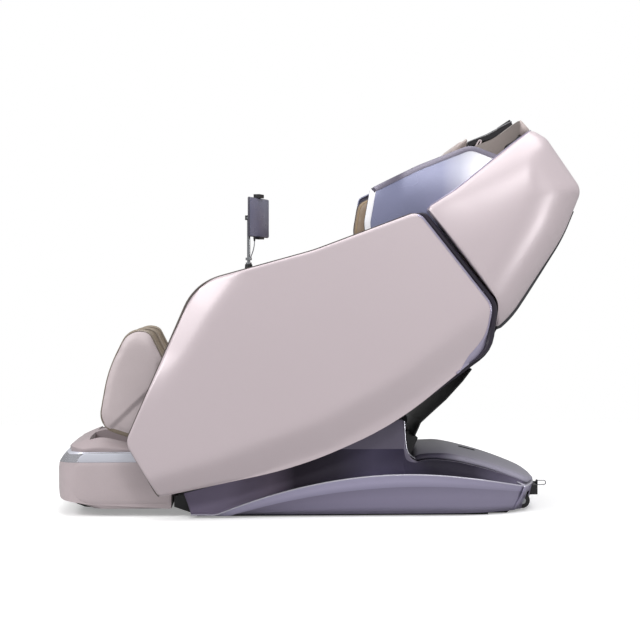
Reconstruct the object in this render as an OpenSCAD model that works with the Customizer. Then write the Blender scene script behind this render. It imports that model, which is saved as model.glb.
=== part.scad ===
// Massage chair: reclining seat on a moulded base, with a lifting leg rest, a foot unit that slides out,
// a massage carriage in the back and a tablet on a stalk.
// The feet point to -X, the sitter's left side to -Y, and the floor is Z = 0.

/* [Widths] */
// Half the width over the two arm panels
half_width = 390; // [386:1:394]
// Half the clear width between the arm bodies
seat_half = 280; // [280:1:282]
// Half the width of the leg rest and foot unit
leg_half = 255; // [250:1:256]
// Half the width of the base at its rim
base_half = 310; // [306:1:314]
// Wall of the moulded covers
wall = 5; // [4:0.5:5]

/* [Pivots] */
// Tilt pivot of the seat, behind the frame's origin
tilt_x = 140; // [138:1:142]
// Height of the tilt pivot
tilt_z = 350; // [348:1:352]
// Hip pivot of the back, behind the frame's origin
hip_x = 265; // [264:1:266]
// Height of the hip pivot
hip_z = 365; // [364:1:367]
// Knee pivot of the leg rest, behind the frame's origin
knee_x = -345; // [-347:1:-343]
// Height of the knee pivot
knee_z = 425; // [423:1:426]
// Lean of the back from upright, in degrees
back_lean = 23; // [22.5:0.5:23.5]
// Lean of the leg rest from upright, in degrees
leg_lean = 18; // [17.5:0.5:18.5]

/* [Travel] */
// Seat tilt, in degrees
tilt_travel = 18; // [12:1:18]
// Back recline, in degrees
recline_travel = 26; // [20:1:26]
// Leg lift, in degrees
leg_travel = 75; // [60:1:75]

/* [Shafts] */
// Radius of the pivot shafts
shaft_r = 10; // [9:0.5:10]
// Running clearance of a shaft in its bore, on the radius
run_fit = 0.05; // [0.03:0.01:0.08]
// Radius of the transport wheels
wheel_r = 24; // [22:1:24]

/* [Upholstery] */
// Thickness of the seat cushion
seat_thick = 62; // [56:1:64]
// Rise of the crown in the middle of a cushion
crown = 9; // [4:1:10]

/* [Hidden] */

$fn = 48;
shell_pink = "#b9a9a8";
leather = "#b9ad9c";
base_grey = "#77738a";
wing_blue = "#8d90a6";
steel = "#5a5c60";
black = "#222226";
brown = "#7c6a55";

// Layers across the chair, as distances from the middle plane
plate_in = seat_half - 12;     // inner face of the seat's side plates
tube_end = plate_in - 4;       // end of the torque tubes at hip and knee
panel_in = 345;                // arm panel's edge
bracket_in = 228;              // inner face of the tilt brackets
bracket_t = 10;
neck_out = 264;
skid_z = 12;
deck_half = 250;

// Side outlines as [x, z, corner radius], clockwise from the front
arm_corners = [
    [-484, 74, 15], [-581, 239, 45], [-374, 714, 160], [-20, 812, 600], [294, 930, 40],
    [519, 648, 60], [500, 512, 110], [225, 288, 200], [-60, 162, 300]
];
// The arm body reaches past the panel at the rear, where it lines the groove
body_corners = [
    [-470, 88, 15], [-568, 240, 40], [-365, 704, 150], [-20, 804, 600], [300, 920, 30], [541, 652, 60],
    [520, 508, 110], [228, 296, 200], [-60, 172, 300]
];
arm_centre = [0, 520];
// The outer back shell, as [x, z, corner radius, edge's distance from the middle plane]
shell_corners = [
    [527, 560, 10, 352], [543, 652, 70, 360], [322, 940, 6, 362], [410, 996, 200, 350],
    [590, 1140, 150, 330], [655, 1186, 20, 300], [700, 1160, 60, 256], [812, 1002, 50, 252],
    [752, 858, 500, 252], [590, 614, 300, 256]
];
shell_centre = [622, 860];
wing_corners = [
    [150, 800, 12, 274], [140, 900, 90, 275], [158, 1003, 18, 292], [300, 1072, 300, 306],
    [462, 1136, 60, 314], [562, 1098, 30, 300], [600, 1010, 40, 284], [440, 790, 40, 274]
];
wing_centre = [370, 940];
pad_corners = [
    [148, 800, 12], [137, 895, 110], [152, 985, 40], [300, 1056, 300], [448, 1110, 60], [535, 1070, 40],
    [560, 980, 60], [400, 790, 60]
];
// Calf walls in the leg's own frame, origin at the knee and z along the leg
calf_corners = [
    [-272, 86, 62], [-295, -70, 420], [-270, -251, 62], [-125, -251, 15], [-130, 10, 60], [-205, 86, 30]
];
calf_centre = [-205, -80];
foot_corners = [
    [-452, 24, 6], [-700, 38, 60], [-806, 54, 40], [-818, 120, 60], [-798, 167, 8], [-452, 167, 4]
];
// Plan of the foot unit as [x, y, corner radius]
foot_plan = [
    [-452, -251, 2], [-788, -251, 60], [-812, -110, 220], [-812, 110, 220], [-788, 251, 60], [-452, 251, 2]
];

// Travel of the slotted rod heads: each crank swings the same angle to both sides of square
tilt_crank = 150;
recline_crank = 95;
leg_crank = 100;
crank_pin_r = 8;
tilt_rod_y = 122;
recline_rod_y = 14;
leg_rod_y = -60;

function unit(v) = v / norm(v);
function mean(points) = [for (k = [0:len(points[0]) - 1]) sum([for (p = points) p[k]]) / len(points)];
function sum(v, i = 0) = i < len(v) ? v[i] + sum(v, i + 1) : 0;
function flat(c) = [c[0], c[1]];

// Points of the arc that rounds corner b between its neighbours a and c
function corner_arc(a, b, c, r, steps) =
    let (to_a = unit(a - b),
         to_c = unit(c - b),
         half = acos(to_a * to_c) / 2,
         centre = b + unit(to_a + to_c) * r / sin(half),
         first = b + to_a * r / tan(half) - centre,
         last = b + to_c * r / tan(half) - centre,
         start = atan2(first[1], first[0]),
         turn = atan2(last[1], last[0]) - start,
         sweep = turn > 180 ? turn - 360 : turn < -180 ? turn + 360 : turn)
    [for (i = [0:steps]) centre + r * [cos(start + sweep * i / steps), sin(start + sweep * i / steps)]];
function rounded(corners, steps = 4) =
    let (n = len(corners))
    [for (i = [0:n - 1])
        each corner_arc(flat(corners[(i + n - 1) % n]), flat(corners[i]), flat(corners[(i + 1) % n]),
                        corners[i][2], steps)];
// The fourth entry of each corner, once for every point that rounded() makes
function edge_values(corners, steps = 4) = [for (c = corners, i = [0:steps]) c[3]];

// Closed skin through rings of equal point counts. A ring is capped by a fan, or when it is a band,
// up one face and back down the other, by a strip between the two faces.
module skin(rings, band = false) {
    n = len(rings[0]);
    last = len(rings) - 1;
    points = concat([for (r = rings) each r], band ? [] : [mean(rings[0]), mean(rings[last])]);
    sides = [for (j = [0:last - 1], i = [0:n - 1])
        let (a = j * n + i, b = j * n + (i + 1) % n)
        each [[a, b + n, b], [a, a + n, b + n]]];
    fans = [for (i = [0:n - 1])
        let (b = (i + 1) % n)
        each [[i, b, n * (last + 1)], [last * n + b, last * n + i, n * (last + 1) + 1]]];
    strips = [for (i = [0:n / 2 - 2])
        let (end = last * n, c = n - 2 - i, d = n - 1 - i)
        each [[i, i + 1, c], [i, c, d], [end + i, end + c, end + i + 1], [end + i, end + d, end + c]]];
    polyhedron(points, concat(sides, band ? strips : fans));
}

// Ring of an outline scaled about its centre, at its own distance from the middle plane per point
function scaled_ring(outline, centre, s, y) =
    [for (i = [0:len(outline) - 1])
        let (p = centre + s * (outline[i] - centre))
        [p[0], is_list(y) ? y[i] : y, p[1]]];

// Hollow crowned cover on the -Y side: its edge lies at edge_y and its middle at crown_y
module crowned_shell(outline, centre, edge_y, crown_y, power) {
    scales = [0.25, 0.6, 0.82, 0.93, 0.985, 1];
    n = len(scales);
    function depth(s, edge) = edge + (crown_y - edge) * (1 - pow(s, power));
    outer = [for (s = scales) scaled_ring(outline, centre, s, [for (e = edge_y) -depth(s, e)])];
    inner = [for (k = [n - 1:-1:0])
        scaled_ring(outline, centre, scales[k] * 0.985, [for (e = edge_y) wall - depth(scales[k], e)])];
    skin(concat(outer, inner));
}

// Padded slab with rounded faces: the outline stands in XZ and the slab is 2 * half thick along Y
module biscuit(outline, centre, half) {
    profile = [[0.5, 1], [0.8, 0.96], [0.94, 0.78], [1, 0.4], [0.992, 0], [1, -0.4], [0.94, -0.78],
               [0.8, -0.96], [0.5, -1]];
    skin([for (p = profile) scaled_ring(outline, centre, p[0], half * p[1])]);
}

// Soft block standing on z = 0: crowned top, sides drawn in between their seams.
// Each channel is [place from -1 to 1, along y when true, width, depth].
module pad(size, rise, channels = [], nx = 12, ny = 12) {
    side = 0.5;
    corner = 0.12;
    function roll(t, p) = 1 - pow(abs(t), p);
    function spread(i, n) = sin(90 * (2 * i / n - 1));
    function place(u, v, s) =
        s / 2 * [size[0] * u * sqrt(1 - corner * v * v), size[1] * v * sqrt(1 - corner * u * u)];
    function groove(u, v) = sum([for (c = channels)
        c[3] * exp(-pow(((c[1] ? v : u) - c[0]) / c[2], 2))]) * roll(u, 8) * roll(v, 8);
    function top(u, v) = size[2] * (side + (1 - side) * sqrt(roll(u, 6) * roll(v, 6)))
        + rise * roll(u, 2) * roll(v, 2) - groove(u, v);
    edge = concat([for (i = [0:nx]) [i, 0]], [for (j = [1:ny]) [nx, j]],
                  [for (i = [nx - 1:-1:0]) [i, ny]], [for (j = [ny - 1:-1:1]) [0, j]]);
    n = len(edge);
    grid = [for (i = [0:nx], j = [0:ny])
        let (u = spread(i, nx), v = spread(j, ny)) [each place(u, v, 1), top(u, v)]];
    function ring(s, z) = [for (e = edge) [each place(spread(e[0], nx), spread(e[1], ny), s), z]];
    g = len(grid);
    points = concat(grid, ring(0.985, size[2] * side / 2), ring(1, 3), ring(0.985, 0), [[0, 0, 0]]);
    function at(i, j) = i * (ny + 1) + j;
    cells = [for (i = [0:nx - 1], j = [0:ny - 1])
        each [[at(i, j), at(i, j + 1), at(i + 1, j + 1)], [at(i, j), at(i + 1, j + 1), at(i + 1, j)]]];
    function rim(k, i) = k == 0 ? at(edge[i % n][0], edge[i % n][1]) : g + (k - 1) * n + i % n;
    sides = [for (k = [0:2], i = [0:n - 1])
        each [[rim(k, i), rim(k, i + 1), rim(k + 1, i + 1)],
              [rim(k, i), rim(k + 1, i + 1), rim(k + 1, i)]]];
    base = [for (i = [0:n - 1]) [rim(3, i), rim(3, i + 1), g + 3 * n]];
    polyhedron(points, concat(cells, sides, base));
}

// Profile in XZ, extruded across the chair from y0 to y1
module across(y0, y1) {
    translate([0, y1, 0]) rotate([90, 0, 0]) linear_extrude(y1 - y0) children();
}
// Bar from a to b in a profile, with round ends
module link(a, b, r) {
    side = r * unit([a[1] - b[1], b[0] - a[0]]);
    translate(a) circle(r);
    translate(b) circle(r);
    polygon([a + side, b + side, b - side, a - side]);
}
// Rod along Y through the point [x, z]
module cross_rod(at, r, y0, y1) {
    translate([at[0], y1, at[1]]) rotate([90, 0, 0]) cylinder(y1 - y0, r, r);
}
module both_sides() {
    children();
    mirror([0, 1, 0]) children();
}
module in_back() {
    translate([hip_x, 0, hip_z]) rotate([0, back_lean, 0]) children();
}
module in_leg() {
    translate([knee_x, 0, knee_z]) rotate([0, leg_lean, 0]) children();
}
module box(low, high) {
    translate(low) cube(high - low);
}

// ---------- Base ----------

function rim_z(x) = max(12, 133 - 0.000355 * pow(x - 270, 2));
function crease_z(x) = max(8.5, min(rim_z(x) - 6, 95 - 0.000255 * pow(x - 310, 2)));
function deck_z(x) =
    lookup(x, [[-414, 71], [-200, 122], [0, 146], [290, 158], [340, 160], [540, 116], [655, 88]]);
function base_w(x) =
    base_half + lookup(x, [[-414, -16], [-200, -3], [0, 0]]) - 88 * pow(max(0, x - 420) / 228, 2);
function deck_w(x) = deck_half + 2 + lookup(x, [[540, 0], [575, -34]]);
function hump_z(x) =
    lookup(x, [[312, 196], [407, 201], [491, 183], [574, 158], [658, 125], [680, 111], [692, 98]]);
front_x = -414;
front_slope = 28;
skirt_end = 638;
hood_x = 312;
// The base ends in an arc in plan, struck from tail_x
tail_x = 232;
tail_r = 470;
frame_z = 52;
axle_at = [643, 9 + wheel_r];

// One section of the skirt: up the outside, then back down the inside of the wall
function skirt_section(x) =
    let (w = base_w(x), rim = rim_z(x), deck = deck_z(x), d = deck_w(x),
         outer = [[w - 36, 8], [w - 8, crease_z(x)], [w, rim - 3], [w - 3, rim], [w - 20, rim + 1],
                  [max(d + 4, w - 40), min(deck - 8, rim + 14)], [d + 2, deck - 2], [d, deck]],
         // Keeps the wall from closing up where the lower side lies flat
         lift = max(0, 2 - (crease_z(x) - 8.5)),
         inner = [for (i = [7:-1:0])
             outer[i] - (i > 5 ? [0, wall] : i == 5 ? [wall, wall] : [wall, i < 2 ? -lift : 0])])
    [for (p = concat(outer, inner))
        [x + front_slope * max(0, (-330 - x) / 84) * (1 - p[1] / 71), -p[0], p[1]]];
module base_skirt() {
    stations = [front_x, -330, -250, -170, -90, 0, 100, 200, 300, 400, 480, 540, 575, 610, skirt_end];
    skin([for (x = stations) skirt_section(x)], true);
}
module base_skirt_left() {
    color(base_grey) base_skirt();
}
module base_skirt_right() {
    color(base_grey) mirror([0, 1, 0]) base_skirt();
}

module base_frame() {
    color(steel) {
        both_sides() {
            box([-380, 150, skid_z], [600, 190, frame_z]);
            difference() {
                box([600, 148, skid_z + 3], [axle_at[0] + 10, 156, frame_z]);
                cross_rod(axle_at, 6, 140, 160);
            }
            for (x = [-60, 260]) box([x, 190, skid_z], [x + 40, bracket_in, frame_z]);
        }
        for (x = [-380, -60, 260, 560]) box([x, -150, skid_z], [x + 40, 150, frame_z]);
    }
}

// Steel plates that rise through the deck and carry the tilt shafts
module tilt_brackets() {
    foot = [[-70, skid_z + 4], [310, skid_z + 4]];
    color(steel) both_sides() {
        across(bracket_in, bracket_in + bracket_t) difference() {
            union() {
                translate([tilt_x, tilt_z]) circle(28);
                polygon([foot[0], [tilt_x - 27, tilt_z + 7], [tilt_x + 27, tilt_z + 7], foot[1]]);
            }
            polygon([[-10, 75], [tilt_x - 16, tilt_z - 60], [tilt_x + 16, tilt_z - 60], [250, 75]]);
        }
        cross_rod([tilt_x, tilt_z], shaft_r, bracket_in - 6, seat_half - 1);
    }
}

module base_deck() {
    stations = [front_x, -200, 0, 290, 340, 540];
    top = [for (x = stations) [x, deck_z(x)]];
    under = [for (i = [len(stations) - 1:-1:0]) [stations[i], deck_z(stations[i]) - wall]];
    color(black) difference() {
        across(-deck_half, deck_half) polygon(concat(top, under));
        both_sides() box([-80, bracket_in - 4, 90], [320, bracket_in + bracket_t + 4, 200]);
    }
}

module base_front() {
    color(black) across(-deck_half, deck_half)
        polygon([[front_x - 1, 71], [front_x - 29, 60], [front_x - 29, 30], [-386, 10], [-381, 10],
                 [-384, 60], [front_x - 1, 65]]);
}

module neck_covers() {
    color(base_grey) both_sides() difference() {
        across(208, neck_out)
            polygon([[-250, 119], [-170, 140], [-130, 220], [-100, 325], [198, 325], [206, 296],
                     [247, 296], [248, 221], [256, 196], [287, 160], [287, 158], [0, 147]]);
        across(208 + wall, neck_out - wall)
            polygon([[-240, 80], [-165, 140], [-125, 218], [-96, 320], [85, 320], [85, 330], [193, 330],
                     [193, 320], [201, 291], [242, 291], [243, 221], [251, 192], [270, 162], [270, 80]]);
    }
}

// Domed hood behind the neck, closed at the back by a curved wall with openings for the wheels and inlet
module base_hood() {
    n = 12;
    skin_t = 4;
    function half(x) = min(214, sqrt(pow(tail_r - 2, 2) - pow(x - tail_x, 2)));
    function arch(x, inset) =
        [for (i = [0:n])
            let (a = 180 * i / n, low = deck_z(x) + 0.5, rise = hump_z(x) - low)
            [x, (half(x) - inset) * cos(a), low + (rise - inset) * pow(sin(a), 0.7)]];
    function band(x) = let (inner = arch(x, skin_t)) concat(arch(x, 0), [for (i = [n:-1:0]) inner[i]]);
    color("#84828f") {
        skin([for (x = [hood_x, 340, 400, 470, 540, 590, 630, 658, 680, 692]) band(x)], true);
        difference() {
            translate([tail_x, 0, 8]) cylinder(85, tail_r, tail_r, $fn = 180);
            translate([tail_x, 0, 0]) cylinder(100, tail_r - skin_t, tail_r - skin_t, $fn = 180);
            box([-300, -500, 0], [650, 500, 100]);
            both_sides() box([600, 154, 0], [720, 190, 62]);
            box([600, inlet_y - 62, 44], [720, inlet_y + 44, 78]);
        }
    }
}

// Runners, narrower at the rear where the base draws in
module base_skids() {
    color(black) both_sides() {
        across(165, 245) polygon([[-370, skid_z], [-378, 6], [-372, 0], [525, 0], [525, skid_z]]);
        across(165, 212) polygon([[520, skid_z], [520, 0], [588, 0], [596, 6], [590, skid_z]]);
    }
}

module wheel_axles() {
    color(steel) both_sides() {
        cross_rod(axle_at, 6, 150, 184);
        cross_rod(axle_at, 10, 184, 187);
    }
}
module wheel() {
    difference() {
        union() {
            cross_rod(axle_at, wheel_r, 160, 180);
            cross_rod(axle_at, 11, 157, 183.5);
        }
        cross_rod(axle_at, 6 + run_fit, 150, 190);
    }
}
module wheel_left() {
    color(black) mirror([0, 1, 0]) wheel();
}
module wheel_right() {
    color(black) wheel();
}

// Socket for a mains lead with three blades, beside the housing of the rocker key
inlet_y = -80;
rocker_at = [691, 61];
module power_inlet() {
    color(black) translate([0, inlet_y, 0]) {
        difference() {
            box([666, -60, 46], [699, -2, 76]);
            box([676, -54, 51], [710, -24, 71]);
        }
        for (y = [-48, -39, -30]) box([674, y - 1, 58], [692, y + 1, 64]);
        difference() {
            box([666, -2, 46], [699, 42, 76]);
            box([678, 7, 50], [710, 33, 72]);
        }
    }
}
// Rocker key on a pin across its middle
module power_rocker() {
    color(black) translate([0, inlet_y + 20, 0]) {
        across(-11, 11) polygon([[698, 52.4], [702.5, 69.6], [697.5, 71], [688, 66], [684, 61], [688, 53]]);
        cross_rod(rocker_at, 2, -12.5, 12.5);
    }
}

// Stiff wire loop in its moulded sleeve
module wire_loop() {
    wire = 1.6;
    bend = 7;
    color(black) translate([0, 0, 66]) {
        translate([tail_x + tail_r, 0, 0]) rotate([0, 90, 0]) cylinder(21, 5.5, 4.5);
        translate([720, 0, 0]) rotate([0, 90, 0]) cylinder(4, 10, 10);
        for (z = [-bend, bend])
            translate([722, 0, z]) rotate([0, 90, 0]) cylinder(23, wire, wire, $fn = 16);
        translate([745, 0, 0]) rotate([90, 90, 0])
            rotate_extrude(angle = 180) translate([bend, 0]) circle(wire, $fn = 16);
    }
}

module control_box() {
    color("#3c3e42") box([320, -90, frame_z], [480, 90, 112]);
}

// Linear actuator: motor, gearbox and tube along X, hung from a bracket
module actuator(x0, x1, at, bracket_x, bracket_z) {
    y = at[0];
    z = at[1];
    color("#33353a") difference() {
        union() {
            translate([x0, y, z]) rotate([0, 90, 0]) cylinder(x1 - x0, 18, 18);
            translate([x0, y, z]) rotate([0, 90, 0]) cylinder(70, 22, 22);
            box([bracket_x - 14, y - 12, min(z, bracket_z)], [bracket_x + 14, y + 12, max(z, bracket_z)]);
        }
        translate([x0 + 20, y, z]) rotate([0, 90, 0])
            cylinder(x1 - x0, shaft_r + run_fit, shaft_r + run_fit);
    }
}
// Rod whose head has an upright slot for the crank's pin. The head stands at x, beside the crank.
module actuator_rod(x, length, at, slot_w, slot_h, head_x) {
    color("#a9acb1") difference() {
        union() {
            translate([x - length, at[0], at[1]]) rotate([0, 90, 0])
                cylinder(length - head_x + 1, shaft_r, shaft_r);
            box([x - head_x, at[0] - 5, at[1] - slot_h / 2 - 7],
                [x + slot_w / 2 + 5, at[0] + 5, at[1] + slot_h / 2 + 7]);
        }
        box([x - slot_w / 2, at[0] - 12, at[1] - slot_h / 2],
            [x + slot_w / 2, at[0] + 12, at[1] + slot_h / 2]);
    }
}
// Crank's pin at the start of its swing, which ends as far before square as it starts past it
function crank_start(pivot, r, travel) = pivot + r * [sin(travel / 2), -cos(travel / 2)];
function crank_height(pivot, r, travel) = pivot[1] - r * (1 + cos(travel / 2)) / 2;
tilt_at = [tilt_x, tilt_z];
hip_at = [hip_x, hip_z];
knee_at = [knee_x, knee_z];
tilt_pin_at = crank_start(tilt_at, tilt_crank, tilt_travel);
hip_pin_at = crank_start(hip_at, recline_crank, recline_travel);
knee_pin_at = crank_start(knee_at, leg_crank, leg_travel);
tilt_rod_z = crank_height(tilt_at, tilt_crank, tilt_travel);
recline_rod_z = crank_height(hip_at, recline_crank, recline_travel);
leg_rod_z = crank_height(knee_at, leg_crank, leg_travel);
slot_w = 2 * crank_pin_r + 2.4;
leg_slot_w = 2 * crank_pin_r + 6;

module tilt_actuator() {
    actuator(-150, 50, [tilt_rod_y, tilt_rod_z], -110, deck_z(-96));
}
module tilt_rod() {
    actuator_rod(tilt_pin_at[0], 190, [tilt_rod_y, tilt_rod_z], slot_w, 22, 18);
}

// ---------- Seat ----------

module seat_frame() {
    plate = [[knee_x - 26, knee_z - 8, 20], [knee_x - 8, knee_z + 30, 20], [150, 432, 60],
             [hip_x + 40, hip_z + 34, 30], [hip_x + 34, hip_z - 34, 26], [tilt_x + 10, tilt_z - 46, 40],
             [-150, 372, 60]];
    color(steel) {
        both_sides() {
            difference() {
                across(plate_in, seat_half) polygon(rounded(plate));
                cross_rod(tilt_at, shaft_r + run_fit, plate_in - 2, seat_half + 2);
            }
            for (at = [hip_at, knee_at]) cross_rod(at, shaft_r, plate_in - 18, plate_in + 2);
        }
        for (at = [[-165, 395], [75, 395], [232, 352]]) cross_rod(at, 14, -plate_in - 2, plate_in + 2);
        box([-286, -245, 406], [198, 245, 410]);
        // Lever for the tilt rod's head
        across(tilt_rod_y - 17, tilt_rod_y - 7) link([75, 395], tilt_pin_at, 12);
        cross_rod(tilt_pin_at, crank_pin_r, tilt_rod_y - 8, tilt_rod_y + 7);
    }
}

// Cover under the hip, open above
module seat_pan() {
    outer = [
        [482, 446], [454, 409], [402, 352], [351, 306], [322, 279], [315, 262], [297, 223], [240, 232]
    ];
    inner = [
        [240, 236], [294, 227], [311, 263], [318, 281], [348, 309], [399, 355], [451, 412], [479, 449]
    ];
    color(black) across(-190, 190) polygon(concat(outer, inner));
}

module seat_cushion() {
    color(leather) translate([-45, 0, 410.3])
        pad([488, 490, seat_thick], crown, [[-0.42, false, 0.05, 7], [0.18, false, 0.05, 7]], 22, 12);
}

arm_outline = rounded(arm_corners);
module arm_panel() {
    crowned_shell(arm_outline, arm_centre, [for (p = arm_outline) panel_in + 5], half_width, 6);
}
module arm_panel_left() {
    color(shell_pink) arm_panel();
}
module arm_panel_right() {
    color(shell_pink) mirror([0, 1, 0]) arm_panel();
}

// Tray open towards the panel, notched on top for the forearm pad and cut back where the wing panel swings
notch_at = [20, 822];
notch_tilt = -18;
notch_x = [-185, 115];
module arm_body() {
    outline = rounded(body_corners);
    color(brown) difference() {
        across(seat_half, panel_in - 1) polygon(outline);
        across(seat_half + 8, panel_in + 5)
            polygon([for (p = outline) arm_centre + 0.93 * (p - arm_centre)]);
        across(seat_half - 1, 306)
            polygon([[125, 786], [400, 776], [470, 725], [560, 680], [560, 1000], [125, 1000]]);
        translate([notch_at[0], 0, notch_at[1]]) rotate([0, notch_tilt, 0])
            box([notch_x[0], seat_half - 5, -46], [notch_x[1], 332, 60]);
    }
}
module arm_body_left() {
    color(brown) difference() {
        mirror([0, 1, 0]) arm_body();
        translate([stalk_at[0], stalk_at[1], stalk_foot_z]) cylinder(60, 16, 16);
    }
}
module arm_body_right() {
    arm_body();
}
module arm_pads() {
    color(leather) both_sides() translate([notch_at[0], (seat_half + 332) / 2, notch_at[1]])
        rotate([0, notch_tilt, 0]) translate([(notch_x[0] + notch_x[1]) / 2, 0, -45.5])
            pad([notch_x[1] - notch_x[0] - 4, 50, 38], 3, [], 10, 6);
}

module recline_actuator() {
    actuator(-60, 165, [recline_rod_y, recline_rod_z], 75, 381);
}
module recline_rod() {
    actuator_rod(hip_pin_at[0], 175, [recline_rod_y, recline_rod_z], slot_w, 22, 18);
}
module leg_actuator() {
    bracket_x = -165;
    color("#33353a") difference() {
        union() {
            translate([-258, leg_rod_y, leg_rod_z]) rotate([0, 90, 0]) cylinder(208, 18, 18);
            translate([-120, leg_rod_y, leg_rod_z]) rotate([0, 90, 0]) cylinder(70, 22, 22);
            box([bracket_x - 14, leg_rod_y - 12, leg_rod_z], [bracket_x + 14, leg_rod_y + 12, 381]);
        }
        translate([-262, leg_rod_y, leg_rod_z]) rotate([0, 90, 0])
            cylinder(190, shaft_r + run_fit, shaft_r + run_fit);
    }
}
module leg_rod() {
    at = [leg_rod_y, leg_rod_z];
    x = knee_pin_at[0];
    color("#a9acb1") difference() {
        union() {
            translate([x + 20, at[0], at[1]]) rotate([0, 90, 0]) cylinder(174, shaft_r, shaft_r);
            box([x - leg_slot_w / 2 - 5, at[0] - 5, at[1] - 28], [x + 21, at[0] + 5, at[1] + 28]);
        }
        box([x - leg_slot_w / 2, at[0] - 12, at[1] - 21], [x + leg_slot_w / 2, at[0] + 12, at[1] + 21]);
    }
}

// ---------- Back ----------

rail_y = 170;
rail_x = 62;
module back_frame() {
    color(steel) {
        difference() {
            cross_rod(hip_at, 16, -tube_end, tube_end);
            for (s = [-1, 1]) cross_rod(hip_at, shaft_r + run_fit, s * 257 - 12, s * 257 + 12);
        }
        in_back() {
            both_sides() {
                box([-10, 205, -12], [25, 225, 880]);
                translate([rail_x, rail_y, 90]) cylinder(710, 8, 8);
                for (z = [90, 790]) box([0, 158, z - 10], [rail_x + 12, 206, z + 10]);
            }
            box([0, -206, 860], [25, 206, 880]);
            box([-10, -206, 42], [4, 206, 58]);
        }
        across(-6, 6) link(hip_at, hip_pin_at, 12);
        cross_rod(hip_pin_at, crank_pin_r, 5, recline_rod_y + 7);
    }
}

shell_outline = rounded(shell_corners);
module back_shell() {
    crowned_shell(shell_outline, shell_centre, edge_values(shell_corners), half_width - 3, 5);
}
module back_shell_left() {
    color(shell_pink) back_shell();
}
module back_shell_right() {
    color(shell_pink) mirror([0, 1, 0]) back_shell();
}

// Barrel cover between the two shells: it bulges in the middle and is carried over the top to the cushion
module rear_cover() {
    corners = [
        [664, 1176, 4], [694, 1166, 20], [802, 1000, 60], [744, 856, 500], [588, 640, 300], [490, 466, 4]
    ];
    steps = 5;
    arcs = rounded(corners, steps);
    // Leaves out the closing side's half of the two end corners
    path = [for (i = [steps - 2:len(arcs) - steps + 1]) arcs[i]];
    middle = [560, 880];
    half = 246;
    function section(y) =
        let (outer = [for (p = path)
                 p + (12 + 22 * (1190 - p[1]) / 724) * (1 - pow(y / half, 2)) * unit(p - middle)],
             inner = [for (i = [len(path) - 1:-1:0]) outer[i] - 5 * unit(outer[i] - middle)])
        [for (p = concat(outer, inner)) [p[0], y, p[1]]];
    color("#37373b") skin([for (k = [-4:4]) section(half * k / 4)], true);
}

wing_outline = rounded(wing_corners);
module wing_panel() {
    crowned_shell(wing_outline, wing_centre, edge_values(wing_corners), 300, 5);
}
module wing_panel_left() {
    color(wing_blue) wing_panel();
}
module wing_panel_right() {
    color(wing_blue) mirror([0, 1, 0]) wing_panel();
}
module wing_pads() {
    color(brown) both_sides() translate([0, 246, 0]) biscuit(rounded(pad_corners), [340, 920], 18);
}

// Back pad, and the roll that caps the top of the back
module back_cushion() {
    color(leather) in_back() {
        translate([-14, 0, 455]) rotate([0, -90, 0])
            pad([780, 396, 66], crown, [for (u = [-0.55, -0.15, 0.25]) [u, false, 0.03, 7]], 24, 10);
        across(-225, 225)
            polygon(rounded([[-10, 884, 4], [-14, 922, 20], [12, 946, 16], [40, 900, 14], [36, 884, 3]]));
    }
}
// Head pillow on the flap that it hangs from, which folds about the cord in its sewn end
flap_at = [-19, 930];
module head_pillow() {
    color(leather) in_back() {
        translate([-92, 0, 705]) rotate([0, -90, 0])
            pad([190, 350, 50], 6, [[0.1, false, 0.06, 4]], 14, 10);
        across(-110, 110) polygon([[-137, 797], [-131, 791], [-17, 921], [-21, 930]]);
        cross_rod(flap_at, 4, -110, 110);
    }
}

// Massage carriage on the guide rods, with a roller arm each side
arm_pivot = [66, 300];
roller_x = 36;
roller_z = [210, 390];
roller_r = 26;
module massage_carriage() {
    color("#44464b") in_back() difference() {
        union() {
            box([88, -186, 240], [100, 186, 360]);
            both_sides() translate([rail_x, rail_y, 240]) cylinder(120, 15, 15);
            both_sides() box([70, 158, 240], [95, 182, 360]);
            box([100, -60, 260], [140, 60, 340]);
            both_sides() {
                box([58, 40, 285], [92, 52, 315]);
                cross_rod(arm_pivot, 8, 46, 72);
            }
        }
        both_sides() translate([rail_x, rail_y, 230]) cylinder(140, 8 + run_fit, 8 + run_fit);
    }
}
module roller_arm(flip) {
    color("#b8b4aa") in_back() mirror([0, flip, 0]) {
        difference() {
            across(56, 66) union() {
                for (z = roller_z) link(arm_pivot, [roller_x, z], 15);
            }
            cross_rod(arm_pivot, 8 + run_fit, 50, 70);
        }
        for (z = roller_z) {
            cross_rod([roller_x, z], 6, 62, 104);
            cross_rod([roller_x, z], 9, 101, 104);
        }
    }
}
module roller_arm_left() {
    roller_arm(1);
}
module roller_arm_right() {
    roller_arm(0);
}
module massage_roller(flip, z) {
    color("#c9b27a") in_back() mirror([0, flip, 0]) difference() {
        union() {
            cross_rod([roller_x, z], roller_r, 74, 94);
            cross_rod([roller_x, z], roller_r - 6, 69, 99);
        }
        cross_rod([roller_x, z], 6 + run_fit, 60, 110);
    }
}
module massage_roller_1() {
    massage_roller(1, roller_z[0]);
}
module massage_roller_2() {
    massage_roller(1, roller_z[1]);
}
module massage_roller_3() {
    massage_roller(0, roller_z[0]);
}
module massage_roller_4() {
    massage_roller(0, roller_z[1]);
}

// ---------- Leg rest ----------

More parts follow.
